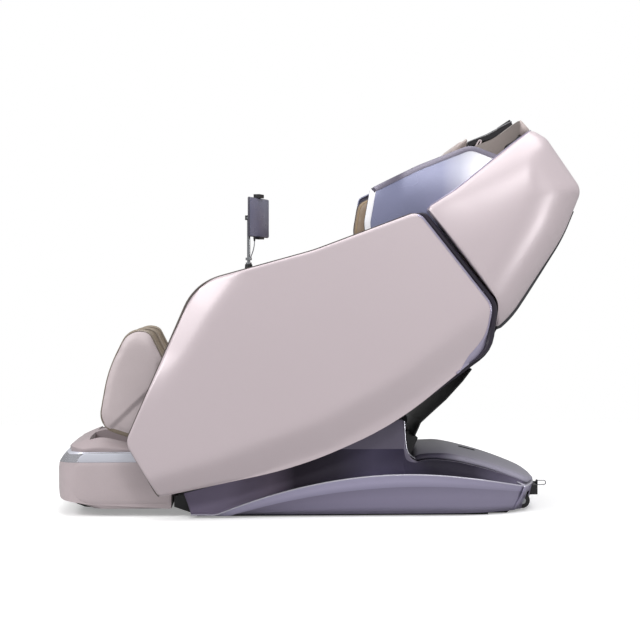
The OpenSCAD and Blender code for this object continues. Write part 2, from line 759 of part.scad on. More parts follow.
guide_y = 150;
guide_x = -60;
calf_outline = rounded(calf_corners);
module leg_frame() {
    color(steel) {
        difference() {
            cross_rod(knee_at, 16, -tube_end, tube_end);
            for (s = [-1, 1]) cross_rod(knee_at, shaft_r + run_fit, s * 257 - 12, s * 257 + 12);
        }
        across(leg_rod_y + 8, leg_rod_y + 18) link(knee_at, knee_pin_at, 12);
        cross_rod(knee_pin_at, crank_pin_r, leg_rod_y - 7, leg_rod_y + 9);
        in_leg() {
            both_sides() {
                across(203, 213) link([0, 0], [-111, -60], 13);
                difference() {
                    translate([guide_x, guide_y, -240]) cylinder(200, 14, 14);
                    translate([guide_x, guide_y, -245]) cylinder(210, shaft_r + run_fit, shaft_r + run_fit);
                }
                box([-118, guide_y - 10, -220], [guide_x - 11, guide_y + 10, -60]);
            }
            box([-124, -238, -242], [-116, 238, -8]);
        }
    }
}
module calf_walls() {
    color(leather) in_leg() {
        both_sides() translate([0, leg_half - 24, 0]) biscuit(calf_outline, calf_centre, 24);
        biscuit(calf_outline, calf_centre, 26);
    }
}
// Back pads of the two channels, and the roll that bridges to the seat
module calf_pads() {
    color(brown) {
        in_leg() both_sides() translate([-124.2, 116, -122]) rotate([0, -90, 0])
            pad([236, 168, 26], 5, [[0.3, false, 0.06, 4], [-0.3, false, 0.06, 4]], 12, 8);
        difference() {
            cross_rod(knee_at, 47, -188, 188);
            cross_rod(knee_at, 16.2, -240, 240);
            across(leg_rod_y - 10, leg_rod_y + 20)
                polygon([for (p = [[-60, -10], [0, -10], [20, 12], [110, -20], [110, -80], [-60, -80]])
                    knee_at + p]);
        }
        across(-188, 188) polygon([[-376, 462], [-386, 440], [-455, 457], [-453, 472]]);
    }
}

// Foot unit: rigid shell with two wells, a bright band round its top, and a soft collar
sole_roller_at = [-640, 66];
module foot_wells(grow) {
    both_sides() across(38 - grow, 208 + grow)
        polygon(rounded([[-764 - grow, 300, 5], [-760 - grow, 70, 30], [-548 + grow, 52, 30],
                         [-524 + grow, 300, 5]]));
}
// Slides that run in the leg frame's guides
module foot_slides(r, low, high) {
    in_leg() both_sides() translate([guide_x, guide_y, low]) cylinder(high - low, r, r);
}
// Profile from y0 to y1, cut to the unit's rounded plan
module foot_block(half) {
    intersection() {
        across(-half, half) children();
        linear_extrude(400) polygon(rounded(foot_plan, 6));
    }
}
module foot_shell() {
    color(leather) difference() {
        foot_block(260) polygon(rounded(foot_corners));
        foot_wells(0);
        foot_slides(shaft_r - 1, -420, 0);
        for (s = [-1, 1]) cross_rod(sole_roller_at, 26, s * 125 - 65, s * 125 + 65);
    }
    color(steel) foot_slides(shaft_r, -330, -68);
    color(steel) both_sides() cross_rod(sole_roller_at, 5, 56, 194);
}
module foot_trim() {
    color("silver") difference() {
        foot_block(260)
            polygon([[-797, 167.3], [-781, 190], [-700, 196], [-620, 198], [-470, 190], [-452, 167.3]]);
        foot_wells(0.5);
        foot_slides(shaft_r + 1, -420, 0);
    }
}
module foot_bumper() {
    color(black) across(-120, 120)
        polygon([[-745, 34.5], [-784, 42], [-778, 34], [-748, 21], [-729, 13.5], [-707, 12], [-640, 12],
                 [-620, 24], [-620, 33]]);
}
module foot_pads() {
    color(leather) difference() {
        foot_block(243)
            polygon(rounded([[-780, 198.5, 3], [-724, 226, 60], [-668, 246, 8], [-644, 242, 12],
                             [-476, 198.5, 3]]));
        foot_wells(0.5);
        foot_slides(shaft_r + 1, -420, 0);
    }
}
// Ribbed roller under the soles
module foot_roller() {
    color(brown) for (s = [-1, 1]) difference() {
        union() {
            cross_rod(sole_roller_at, 17, s * 125 - 62, s * 125 + 62);
            for (k = [-2:2]) cross_rod(sole_roller_at, 22, s * 125 + k * 24 - 6, s * 125 + k * 24 + 6);
        }
        cross_rod(sole_roller_at, 5 + run_fit, s * 125 - 70, s * 125 + 70);
    }
}

// ---------- Tablet ----------

stalk_at = [-214, -297];
stalk_foot_z = 746;
tilt_joint_z = 912;
screen_gap = 36;               // from the stalk to the screen's face
tablet_size = [9, 168, 118];
back_face = screen_gap - tablet_size[0];
// Lead from the plug under the tablet to the clip on the stalk, as [x, y, z] in the tablet's own frame
lead_r = 1.5;
lead_route = [
    [31, -34, -70], [31, -34, -76], [30, -33, -83], [28, -31, -90], [25, -27, -97], [21, -22, -103],
    [17, -16, -108], [13, -10, -112], [10, -5, -115], [8, -2, -117], [7, 0, -119], [7, 0, -120]
];
// The tablet's own frame: x out of the screen, y along its width, origin on the tilt joint
module at_tablet() {
    translate([stalk_at[0], stalk_at[1], tilt_joint_z]) rotate([0, 0, -20]) children();
}
// Round tube along a route, with its end faces square to the first and last stretch
module tube(route, r, sides) {
    last = len(route) - 1;
    function heading(i) = unit(route[min(last, i + 1)] - route[max(0, i - 1)]);
    function ring(i) =
        let (t = heading(i), a = unit(cross(t, [1, 0, 0])), b = cross(t, a))
        [for (k = [0:sides - 1]) route[i] + r * (a * cos(360 * k / sides) + b * sin(360 * k / sides))];
    skin([for (i = [0:last]) ring(i)]);
}
module stalk_base() {
    color(black) translate([stalk_at[0], stalk_at[1], stalk_foot_z]) difference() {
        union() {
            cylinder(26, 13, 11);
            cylinder(8, 16, 16);
        }
        translate([0, 0, 8]) cylinder(30, 5 + run_fit, 5 + run_fit);
    }
}
module tablet_stalk() {
    color("#9a9aa2") at_tablet() {
        translate([0, 0, 755 - tilt_joint_z]) cylinder(tilt_joint_z - 755, 5, 5);
        translate([0, 0, 772.2 - tilt_joint_z]) cylinder(5, 9, 9);
        translate([0, 0, -128]) cylinder(8, 9.5, 9.5);
        cross_rod([0, 0], 8, -7, 7);
        cross_rod([0, 0], 3, -13, 13);
    }
}
module tablet_holder() {
    color(black) at_tablet() {
        for (s = [-1, 1]) difference() {
            box([-7, s * 10 - 2.5, -7], [back_face - 2, s * 10 + 2.5, 7]);
            cross_rod([0, 0], 3 + run_fit, -20, 20);
        }
        box([back_face - 4, -22, -62], [back_face - 0.3, 22, 50]);
        box([back_face - 4, -22, -65], [screen_gap + 6, 22, -tablet_size[2] / 2 - 0.3]);
    }
}
module holder_jaw() {
    color(black) at_tablet() {
        box([back_face - 4, -20, 50.5], [back_face - 0.3, 20, 70]);
        box([back_face - 4, -20, tablet_size[2] / 2 + 0.3], [screen_gap + 6, 20, 70]);
    }
}
module tablet_body() {
    color("#5b5964") at_tablet()
        translate([back_face, -tablet_size[1] / 2, -tablet_size[2] / 2]) cube(tablet_size);
}
module tablet_lead() {
    color("#8a8a90") at_tablet() {
        translate([31, -34, -71]) cylinder(71 - tablet_size[2] / 2 - 0.2, 2.2, 3.4);
        tube(lead_route, lead_r, 8);
    }
}

base_frame();
tilt_brackets();
base_skirt_left();
base_skirt_right();
base_deck();
base_front();
neck_covers();
base_hood();
base_skids();
wheel_axles();
wheel_left();
wheel_right();
power_inlet();
power_rocker();
wire_loop();
control_box();
tilt_actuator();
tilt_rod();
seat_frame();
seat_pan();
seat_cushion();
arm_panel_left();
arm_panel_right();
arm_body_left();
arm_body_right();
arm_pads();
recline_actuator();
recline_rod();
leg_actuator();
leg_rod();
back_frame();
back_shell_left();
back_shell_right();
rear_cover();
wing_panel_left();
wing_panel_right();
wing_pads();
back_cushion();
head_pillow();
massage_carriage();
roller_arm_left();
roller_arm_right();
massage_roller_1();
massage_roller_2();
massage_roller_3();
massage_roller_4();
leg_frame();
calf_walls();
calf_pads();
foot_shell();
foot_trim();
foot_bumper();
foot_pads();
foot_roller();
stalk_base();
tablet_stalk();
tablet_holder();
holder_jaw();
tablet_body();
tablet_lead();
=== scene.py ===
import math
import bmesh
import bpy
from mathutils import Matrix, Vector, noise


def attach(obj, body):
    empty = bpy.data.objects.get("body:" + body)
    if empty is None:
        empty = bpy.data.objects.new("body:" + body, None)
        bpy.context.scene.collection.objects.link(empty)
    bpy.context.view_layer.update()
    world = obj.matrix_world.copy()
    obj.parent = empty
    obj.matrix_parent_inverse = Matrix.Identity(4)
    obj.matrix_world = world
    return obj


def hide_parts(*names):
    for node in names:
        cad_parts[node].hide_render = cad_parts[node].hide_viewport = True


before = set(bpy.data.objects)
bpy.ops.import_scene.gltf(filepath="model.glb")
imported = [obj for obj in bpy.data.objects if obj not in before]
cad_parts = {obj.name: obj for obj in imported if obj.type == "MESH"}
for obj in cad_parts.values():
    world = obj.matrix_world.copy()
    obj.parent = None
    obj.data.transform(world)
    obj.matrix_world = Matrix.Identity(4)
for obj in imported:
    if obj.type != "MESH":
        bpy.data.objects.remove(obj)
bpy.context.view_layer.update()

# Lengths below are in millimetres unless a comment says metres. Meshes are made in metres.
MM = 0.001
scene = bpy.context.scene

# ---------- Camera ----------

# Lens and film are in millimetres, places in metres and the yaw in degrees. The drop is how far the
# view falls over its distance.
CAMERA_LENS = 84.375
CAMERA_FILM = 36
CAMERA_REACH = 60
CAMERA_FAR = 4.85
CAMERA_HIGH = 0.700
CAMERA_AIM = 0.015
CAMERA_YAW = 2.5
CAMERA_DROP = 32 / 1500
camera_data = bpy.data.cameras.new("camera")
camera_data.lens = CAMERA_LENS
camera_data.sensor_width = CAMERA_FILM
camera_data.clip_end = CAMERA_REACH
camera = bpy.data.objects.new("camera", camera_data)
scene.collection.objects.link(camera)
yaw = math.radians(CAMERA_YAW)
pitch = math.atan(CAMERA_DROP)
camera.location = (CAMERA_AIM - math.sin(yaw) * CAMERA_FAR, -math.cos(yaw) * CAMERA_FAR, CAMERA_HIGH)
camera.rotation_euler = (math.radians(90) - pitch, 0, -yaw)
scene.camera = camera

# ---------- Shape helpers ----------

# Steps round each corner of an outline, and how near, in metres, a cut passes a point without adding one.
STEPS = 8
NEAR = 1e-5


def outward(bm, middle):
    """Turns the faces of a mesh away from its middle."""
    bmesh.ops.recalc_face_normals(bm, faces=bm.faces)
    way = sum(f.normal.dot(f.calc_center_median() - Vector(middle) * MM) * f.calc_area() for f in bm.faces)
    if way < 0:
        bmesh.ops.reverse_faces(bm, faces=bm.faces)


def piece(name, bm, finish, body, slot, stands_for=(), wall=0, wall_offset=-1, smooth=40):
    """Makes a mesh piece that rides on a body, with its finish and, for a thin moulding, its wall."""
    mesh = bpy.data.meshes.new(name)
    bm.to_mesh(mesh)
    bm.free()
    obj = bpy.data.objects.new(name, mesh)
    scene.collection.objects.link(obj)
    for f in mesh.polygons:
        f.use_smooth = True
    if smooth:
        mesh.set_sharp_from_angle(angle=math.radians(smooth))
    for m in finish if isinstance(finish, (list, tuple)) else [finish]:
        mesh.materials.append(m)
    if wall:
        solid = obj.modifiers.new("wall", "SOLIDIFY")
        solid.thickness = wall * MM
        solid.offset = wall_offset
    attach(obj, body)
    if stands_for:
        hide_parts(*stands_for)
    return obj


def pair(name, bm, finish, body, slot, nodes=((), ()), **more):
    """The piece made on the -Y side, and its mirror image on the other."""
    other = bm.copy()
    bmesh.ops.scale(other, vec=(1, -1, 1), verts=other.verts)
    bmesh.ops.reverse_faces(other, faces=other.faces)
    piece(name + "_left", bm, finish, body, slot, nodes[0], **more)
    piece(name + "_right", other, finish, body, slot, nodes[1], **more)


def rounded(corners, steps=STEPS):
    """Outline through [x, z, corner radius], with each corner an arc."""
    out = []
    count = len(corners)
    for i in range(count):
        a, b, c = (Vector(corners[(i + k) % count][:2]) for k in (-1, 0, 1))
        r = corners[i][2]
        to_a, to_c = (a - b).normalized(), (c - b).normalized()
        half = math.acos(max(-1, min(1, to_a.dot(to_c)))) / 2
        centre = b + (to_a + to_c).normalized() * (r / math.sin(half))
        first = b + to_a * (r / math.tan(half)) - centre
        last = b + to_c * (r / math.tan(half)) - centre
        start = math.atan2(first.y, first.x)
        turn = (math.atan2(last.y, last.x) - start + math.pi) % (2 * math.pi) - math.pi
        for k in range(steps + 1):
            at = start + turn * k / steps
            out.append(centre + Vector((math.cos(at), math.sin(at))) * r)
    return out


def corner_run(outline, first, last):
    """The stretch of a rounded outline from one corner to another."""
    total = len(outline)
    begin = first * (STEPS + 1) + STEPS // 2
    end = last * (STEPS + 1) + STEPS // 2
    if end <= begin:
        end += total
    return [outline[i % total] for i in range(begin, end + 1)]


def even_run(run, spacing):
    """The same stretch with points at an even spacing."""
    out = [run[0].copy()]
    left = spacing
    for a, b in zip(run, run[1:]):
        length = (b - a).length
        while length > 0 and left <= length:
            out.append(a + (b - a) * (left / length))
            left += spacing
        left -= length
    out.append(run[-1].copy())
    return out


def away(line, p):
    """Distance of a point from a run of points."""
    best = 1e9
    for a, b in zip(line, line[1:]):
        along = b - a
        t = max(0, min(1, (p - a).dot(along) / max(1e-9, along.length_squared)))
        best = min(best, (a + along * t - p).length)
    return best


def beyond(line, p):
    """Signed distance from a run whose ends go on, positive on its right-hand side."""
    best, value = 1e9, 0
    last = len(line) - 2
    for i in range(last + 1):
        a, b = line[i], line[i + 1]
        along = b - a
        t = (p - a).dot(along) / along.length_squared
        if i > 0:
            t = max(0, t)
        if i < last:
            t = min(1, t)
        off = p - (a + along * t)
        if off.length < best:
            best = off.length
            value = off.x * along.y - off.y * along.x
            value = math.copysign(best, value)
    return value


def soft(s, width):
    """Nothing before 0 and rising after it, with a soft turn of that width."""
    return (s + math.sqrt(s * s + width * width)) / 2


def step(low, high, s):
    """0 up to one value, 1 from the other, and a soft rise between them."""
    t = max(0, min(1, (s - low) / (high - low)))
    return t * t * (3 - 2 * t)


def through(table, x):
    """Smooth curve through a table of [x, value]."""
    if x <= table[0][0]:
        return table[0][1]
    if x >= table[-1][0]:
        return table[-1][1]
    i = max(k for k in range(len(table) - 1) if table[k][0] <= x)

    def slope(k):
        a, b = table[max(0, k - 1)], table[min(len(table) - 1, k + 1)]
        return (b[1] - a[1]) / (b[0] - a[0])
    (x0, y0), (x1, y1) = table[i], table[i + 1]
    w = x1 - x0
    t = (x - x0) / w
    return ((2 * t**3 - 3 * t**2 + 1) * y0 + (t**3 - 2 * t**2 + t) * w * slope(i)
            + (3 * t**2 - 2 * t**3) * y1 + (t**3 - t**2) * w * slope(i + 1))


def dense(outline, longest):
    """Closed outline with its long straight parts divided."""
    out = []
    for a, b in zip(outline, list(outline[1:]) + [outline[0]]):
        count = math.ceil((b - a).length / longest)
        out += [a.lerp(b, k / count) for k in range(count)]
    return out


def pulled(bm, edges):
    """Extrudes edges and gives the new corners and the new edges between them."""
    grown = bmesh.ops.extrude_edge_only(bm, edges=edges)["geom"]
    fresh = [g for g in grown if isinstance(g, bmesh.types.BMVert)]
    known = set(fresh)
    between = {e: None for v in fresh for e in v.link_edges if all(end in known for end in e.verts)}
    return fresh, list(between)


def moulded_panel(outline, spacing, rims, depth, edge_y, turn=4):
    """Moulded cover on the -Y side: an outline with rings along its edge and a grid inside, pushed out
    to depth(point, distance from the edge), its border turned in by turn but not past edge_y."""
    bm = bmesh.new()
    face = bm.faces.new([bm.verts.new((p.x * MM, 0, p.y * MM)) for p in dense(outline, spacing)])
    bm.normal_update()
    if face.normal.y > 0:
        face.normal_flip()
    for width in rims:
        bmesh.ops.inset_region(bm, faces=[face], thickness=width * MM, use_boundary=True,
                               use_even_offset=True)
    face.material_index = 1
    low = [min(p[k] for p in outline) for k in (0, 1)]
    high = [max(p[k] for p in outline) for k in (0, 1)]
    for k, normal in ((0, (1, 0, 0)), (1, (0, 0, 1))):
        for i in range(math.ceil(low[k] / spacing), math.floor(high[k] / spacing) + 1):
            faces = [f for f in bm.faces if f.material_index == 1]
            edges = {e: None for f in faces for e in f.edges}
            verts = {v: None for f in faces for v in f.verts}
            bmesh.ops.bisect_plane(bm, geom=faces + list(edges) + list(verts), dist=NEAR,
                                   plane_co=Vector(normal) * (i * spacing * MM), plane_no=normal)
    for f in bm.faces:
        f.material_index = 0
    closed = list(outline) + [outline[0]]
    for v in bm.verts:
        p = Vector((v.co.x / MM, v.co.z / MM))
        v.co.y = -depth(p, away(closed, p)) * MM
    for v in pulled(bm, [e for e in bm.edges if e.is_boundary])[0]:
        v.co.y = max(v.co.y + turn * MM, -edge_y * MM)
    return bm


def rolled(d, width, drop):
    """How far a rounded edge has dropped at distance d: by drop at the border, by nothing at width."""
    t = min(1, d / width)
    return drop * (1 - math.sqrt(max(0, 1 - (1 - t) ** 2)))


def loft(sections, closed=False, ends=False):
    """Skin through sections of equal counts: the first is drawn and pulled from one to the next. The
    layer place keeps each corner's number in its section."""
    bm = bmesh.new()
    place = bm.verts.layers.int.new("place")
    ring = [bm.verts.new(Vector(p) * MM) for p in sections[0]]
    for i, v in enumerate(ring):
        v[place] = i
    edges = [bm.edges.new(two) for two in zip(ring, ring[1:])]
    if closed:
        edges.append(bm.edges.new((ring[-1], ring[0])))
    caps = [list(edges)]
    for section in sections[1:]:
        fresh, edges = pulled(bm, edges)
        for v in fresh:
            v.co = Vector(section[v[place]]) * MM
    caps.append(edges)
    if ends:
        for cap in caps:
            bmesh.ops.contextual_create(bm, geom=cap)
    bmesh.ops.recalc_face_normals(bm, faces=bm.faces)
    return bm


def across(outline, places):
    """Solid with one outline of [x, z] points, from the first place across the chair to the last."""
    return loft([[(p[0], y, p[1]) for p in outline] for y in places], closed=True, ends=True)


def side_normals(run):
    """Unit vectors square to a run, on the outside of an outline that is drawn clockwise."""
    out = []
    for i in range(len(run)):
        t = (run[min(len(run) - 1, i + 1)] - run[max(0, i - 1)]).normalized()
        out.append(Vector((-t.y, t.x)))
    return out


def strip(run, profile):
    """Strip along a run of points. profile(count, point, normal) gives its rails at a point, each as
    [offset outward, distance from the middle plane]."""
    sections = []
    for i, (p, n) in enumerate(zip(run, side_normals(run))):
        sections.append([((p + n * off).x, -y, (p + n * off).y) for off, y in profile(i, p, n)])
    bm = loft(sections)
    outward(bm, (sum(p.x for p in run) / len(run), 0, sum(p.y for p in run) / len(run)))
    return bm


def ribbon(run, rails, face=None, follow=0):
    """Strip with the same rails all along. Where there is a face, their distances count from it, at the
    run or, with follow 1, at each rail."""
    def profile(i, p, n):
        return [(off, y + (face(p + n * off * follow) if face else 0)) for off, y in rails]
    return strip(run, profile)


def rod(points, r, sides=12):
    """Round tube or piping along points. Its radius may be a function of the way along, from 0 to 1."""
    points = [Vector(p) for p in points]
    last = len(points) - 1
    sections = []
    for i, p in enumerate(points):
        t = (points[min(last, i + 1)] - points[max(0, i - 1)]).normalized()
        if i == 0:
            a = t.cross(Vector((0, 0, 1) if abs(t.z) < 0.9 else (0, 1, 0))).normalized()
        else:
            a = (a - t * a.dot(t)).normalized()
        b = t.cross(a)
        radius = r(i / last) if callable(r) else r
        ring = []
        for k in range(sides):
            turn = 2 * math.pi * k / sides
            ring.append(p + (a * math.cos(turn) + b * math.sin(turn)) * radius)
        sections.append(ring)
    return loft(sections, closed=True, ends=True)


def joined(*meshes):
    """One mesh from several."""
    whole = bmesh.new()
    for bm in meshes:
        mesh = bpy.data.meshes.new("part")
        bm.to_mesh(mesh)
        bm.free()
        whole.from_mesh(mesh)
        bpy.data.meshes.remove(mesh)
    return whole


def block(low, high, bevel, segments=3):
    """Rectangular moulding with rounded edges."""
    bm = bmesh.new()
    bmesh.ops.create_cube(bm, size=1)
    size = [(b - a) * MM for a, b in zip(low, high)]
    centre = [(a + b) / 2 * MM for a, b in zip(low, high)]
    bmesh.ops.scale(bm, vec=size, verts=bm.verts)
    bmesh.ops.translate(bm, vec=centre, verts=bm.verts)
    bmesh.ops.bevel(bm, geom=bm.edges[:], offset=bevel * MM, segments=segments, profile=0.5,
                    affect="EDGES", material=-1)
    return bm


def shift(x, y, z):
    return Matrix.Translation((x * MM, y * MM, z * MM))


def turned(degrees, axis="Y"):
    return Matrix.Rotation(math.radians(degrees), 4, axis)


def placed(bm, *turns):
    """The mesh after each of the moves in turn."""
    for turn in turns:
        bmesh.ops.transform(bm, matrix=turn, verts=bm.verts)
    return bm


# ---------- Places on the chair ----------

# The hip and knee axes as [x, z], and the moves from the back's, the leg rest's and the tablet's own
# axes to the chair's, with their leans in degrees.
HIP = (265, 365)
KNEE = (-345, 425)
BACK_LEAN = 23
LEG_LEAN = 18
TABLET_YAW = -20
BACK_TURN = shift(HIP[0], 0, HIP[1]) @ turned(BACK_LEAN)
LEG_TURN = shift(KNEE[0], 0, KNEE[1]) @ turned(LEG_LEAN)
TABLET = shift(-214, -297, 912) @ turned(TABLET_YAW, "Z")

# ---------- Finishes ----------

WHITE = (1, 1, 1)


def tint(hex_colour, gain=1.0):
    """Linear colour of a screen colour such as c4b8b9."""
    out = []
    for k in (0, 2, 4):
        c = int(hex_colour[k:k + 2], 16) / 255
        out.append(min(1, gain * (c / 12.92 if c < 0.04045 else ((c + 0.055) / 1.055) ** 2.4)))
    return tuple(out)


def greys(*stops):
    """Stops of a grey ramp, from [place, value]."""
    return [(at, (value, value, value)) for at, value in stops]


class Finish:
    """Node tree of one finish, with helpers that add and join its nodes."""

    def __init__(self, name, colour, rough, metal=0.0, coat=0.0, sheen=0.0, specular=0.5):
        self.material = bpy.data.materials.new(name)
        self.material.use_nodes = True
        tree = self.material.node_tree
        self.nodes = tree.nodes
        self.links = tree.links
        self.shader = next(n for n in tree.nodes if n.type == "BSDF_PRINCIPLED")
        put = self.shader.inputs
        put["Base Color"].default_value = (*colour, 1)
        put["Roughness"].default_value = rough
        put["Metallic"].default_value = metal
        put["Coat Weight"].default_value = coat
        put["Coat Roughness"].default_value = 0.28
        put["Sheen Weight"].default_value = sheen
        put["Specular IOR Level"].default_value = specular
        self.where = self.add("ShaderNodeTexCoord").outputs["Object"]
        self.bump_out = None

    def add(self, kind, **values):
        node = self.nodes.new(kind)
        for key, value in values.items():
            setattr(node, key, value)
        return node

    def join(self, a, b):
        self.links.new(a, b)

    def noise(self, scale, detail, stretch=None):
        node = self.add("ShaderNodeTexNoise")
        node.inputs["Scale"].default_value = scale
        node.inputs["Detail"].default_value = detail
        where = self.where
        if stretch:
            turn = self.add("ShaderNodeMapping")
            turn.inputs["Scale"].default_value = stretch
            self.join(where, turn.inputs["Vector"])
            where = turn.outputs["Vector"]
        self.join(where, node.inputs["Vector"])
        return node.outputs["Fac"]

    def cells(self, scale):
        node = self.add("ShaderNodeTexVoronoi")
        node.inputs["Scale"].default_value = scale
        self.join(self.where, node.inputs["Vector"])
        return node.outputs["Distance"]

    def along(self, axis, start, end):
        """0 to 1 along an axis of the object, in metres."""
        split = self.add("ShaderNodeSeparateXYZ")
        self.join(self.where, split.inputs[0])
        span = self.add("ShaderNodeMapRange")
        span.inputs["From Min"].default_value = start
        span.inputs["From Max"].default_value = end
        self.join(split.outputs[axis], span.inputs["Value"])
        return span.outputs["Result"]

    def ramp(self, fac, stops):
        node = self.add("ShaderNodeValToRGB")
        bar = node.color_ramp
        while len(bar.elements) < len(stops):
            bar.elements.new(0.5)
        for element, (at, colour) in zip(bar.elements, stops):
            element.position = at
            element.color = (*colour, 1)
        self.join(fac, node.inputs["Fac"])
        return node.outputs["Color"]

    def mix(self, fac, a, b):
        node = self.add("ShaderNodeMix", data_type="RGBA")
        self.join(fac, node.inputs["Factor"])
        for value, socket in ((a, node.inputs["A"]), (b, node.inputs["B"])):
            if isinstance(value, tuple):
                socket.default_value = (*value, 1)
            else:
                self.join(value, socket)
        return node.outputs["Result"]

    def colour(self, socket):
        self.join(socket, self.shader.inputs["Base Color"])

    def gloss(self, fac, low, high):
        span = self.add("ShaderNodeMapRange")
        span.inputs["To Min"].default_value = low
        span.inputs["To Max"].default_value = high
        self.join(fac, span.inputs["Value"])
        self.join(span.outputs["Result"], self.shader.inputs["Roughness"])

    def bump(self, height, distance, strength):
        node = self.add("ShaderNodeBump")
        node.inputs["Strength"].default_value = strength
        node.inputs["Distance"].default_value = distance
        self.join(height, node.inputs["Height"])
        if self.bump_out:
            self.join(self.bump_out, node.inputs["Normal"])
        self.bump_out = node.outputs["Normal"]
        self.join(self.bump_out, self.shader.inputs["Normal"])

    def sprayed(self, tone, rough, haze, flake=1600):
        """Paint of a given tone under a haze of fine flake, with a trace of orange peel."""
        fleck = self.ramp(self.noise(flake, 1), greys((0.35, 0), (0.75, haze)))
        self.colour(self.mix(fleck, tone, WHITE))
        self.gloss(self.noise(6, 2), rough - 0.03, rough + 0.03)
        self.bump(self.noise(420, 1), 0.00001, 0.3)
        return self.material


def lacquer(name, light, dark, rough, metal, coat):
    """Sprayed paint on a moulding, with a slow drift of tone."""
    f = Finish(name, tint(light), rough, metal, coat)
    return f.sprayed(f.mix(f.noise(1.6, 1), tint(dark), tint(light)), rough, 0.09)


def base_paint(name, stops, rough=0.33, metal=0.35, coat=0.3, specular=0.5, haze=1.0):
    """Metallic lacquer whose depth changes along the base, as [place from 0 to 1, screen colour]; on the
    scoop and the hood's flanks this change paints shade. Haze says how much lighter its cloud and flake make
    it."""
    f = Finish(name, tint(stops[0][1]), rough, metal, coat, specular=specular)
    tone = f.ramp(f.along("X", -0.42, 0.70), [(at, tint(c)) for at, c in stops])
    cloud = f.ramp(f.noise(3, 2), greys((0.3, 0), (0.8, 0.1 * haze)))
    return f.sprayed(f.mix(cloud, tone, tint("9a94ae")), rough, 0.06 * haze)


def hide(name, light, dark, rough=0.42, grain=620, shade_along=None):
    """Upholstery leather: pebble grain, soft creases and tone that drifts with handling. It may be darkened
    along X, as [from, to] in metres, towards its dark tone: painted shade."""
    f = Finish(name, tint(light), rough, sheen=0.15, specular=0.45)
    tone = f.mix(f.noise(7, 4), tint(dark), tint(light))
    # Painted shade: the tone darkens along X between the two places.
    if shade_along:
        tone = f.mix(f.along("X", *shade_along), tone, tint(dark, 0.62))
    pebble = f.cells(grain)
    f.colour(f.mix(f.ramp(pebble, greys((0.1, 0), (0.75, 0.22))), tone, tint(dark, 0.8)))
    f.gloss(f.noise(28, 3), rough - 0.06, rough + 0.12)
    f.bump(f.noise(24, 4), 0.0016, 0.35)
    f.bump(pebble, 0.00022, 0.55)
    return f.material


def plastic(name, light, dark, rough=0.4, texture=900, depth=0.00008):
    """Moulded plastic with a fine spark texture."""
    f = Finish(name, tint(light), rough)
    f.colour(f.mix(f.noise(5, 3), tint(dark), tint(light)))
    f.gloss(f.noise(60, 4), rough - 0.07, rough + 0.08)
    f.bump(f.noise(texture, 2), depth, 0.5)
    return f.material


def metal(name, light, dark, rough, brushed=(400, 8, 400)):
    """Bare or painted metal with fine drawn lines."""
    f = Finish(name, tint(light), rough, 0.9)
    f.colour(f.mix(f.noise(9, 4), tint(dark), tint(light)))
    f.gloss(f.noise(1, 3, stretch=brushed), rough - 0.08, rough + 0.1)
    f.bump(f.noise(1, 2, stretch=brushed), 0.00003, 0.4)
    return f.material


pink = lacquer("pink_lacquer", "c9bbc0", "c3b5ba", 0.36, 0.12, 0.3)
# The dark lilac of the wing's top border is a painted reflection on its rolled edge.
border_dark_reflection = lacquer("border_reflection_lacquer", "625c6f", "5a5467", 0.33, 0.3, 0.3)
rim_lilac = lacquer("rim_lacquer", "aaa3bb", "9a93ad", 0.28, 0.35, 0.35)
hood_grey = lacquer("hood_lacquer", "9895a3", "8f8c9b", 0.4, 0.15, 0.15)
silver = metal("silver_trim", "d3d3d8", "b9b9c2", 0.24, (8, 300, 300))
trim_white = lacquer("white_trim", "f6f6fa", "efeff5", 0.3, 0.0, 0.4)
band_silver = lacquer("band_silver", "dfe0ea", "d2d3df", 0.4, 0.35, 0.2)
olive_trim = metal("edge_trim", "8f8b84", "78746e", 0.34, (8, 300, 300))
beige = hide("beige_leather", "bdb0ae", "a89b97")
pale = hide("foot_leather", "cabcbf", "baadb0", 0.4)
collar_leather = hide("collar_leather", "b0a2a5", "a09396", 0.45)
brown = hide("brown_leather", "968371", "7a6958", 0.46)
piping_tan = hide("tan_piping", "a8916f", "8d785a", 0.5, 1400)
piping_olive = hide("olive_piping", "7d7266", "665c52", 0.5, 1400)
calf_leather = hide("calf_leather", "cdc0c2", "beb1b3", 0.4)
layer_leather = hide("layer_leather", "8f8272", "776b5d", 0.5)
piping_dark = hide("dark_piping", "4a4038", "332c27", 0.5, 1400)
# The head fill's leather darkens towards the shell, where shade falls: painted shade.
shade_leather = hide("shade_leather", "a89e99", "8b817c", 0.5, shade_along=(0.47, 0.63))
strap_black = hide("strap_cloth", "26242a", "1a191d", 0.7, 1800)
dark_plum = plastic("groove_plastic", "2b2433", "1f1a26", 0.38)
black = plastic("black_plastic", "1d1d20", "131316", 0.42)
rear_grey = plastic("rear_plastic", "3a3a3f", "2e2e33", 0.5, 1200, 0.00015)
steel = metal("painted_steel", "56585c", "46484c", 0.45, (60, 60, 60))
bare = metal("bare_steel", "b4b7bb", "9fa2a6", 0.25, (200, 12, 200))
rubber = plastic("wheel_rubber", "1a1a1b", "121213", 0.62, 700, 0.0002)
motor = plastic("actuator_paint", "34363b", "2a2c30", 0.4)
roller_tan = plastic("roller_plastic", "c9b27a", "b59d66", 0.35)
arm_ivory = plastic("arm_plastic", "b8b4aa", "a5a197", 0.38)
case_grey = plastic("tablet_case", "4c4a55", "42404b", 0.34, 1400, 0.00005)
sheath = plastic("cord_sheath", "8a8a90", "77777d", 0.45, 1800, 0.00004)


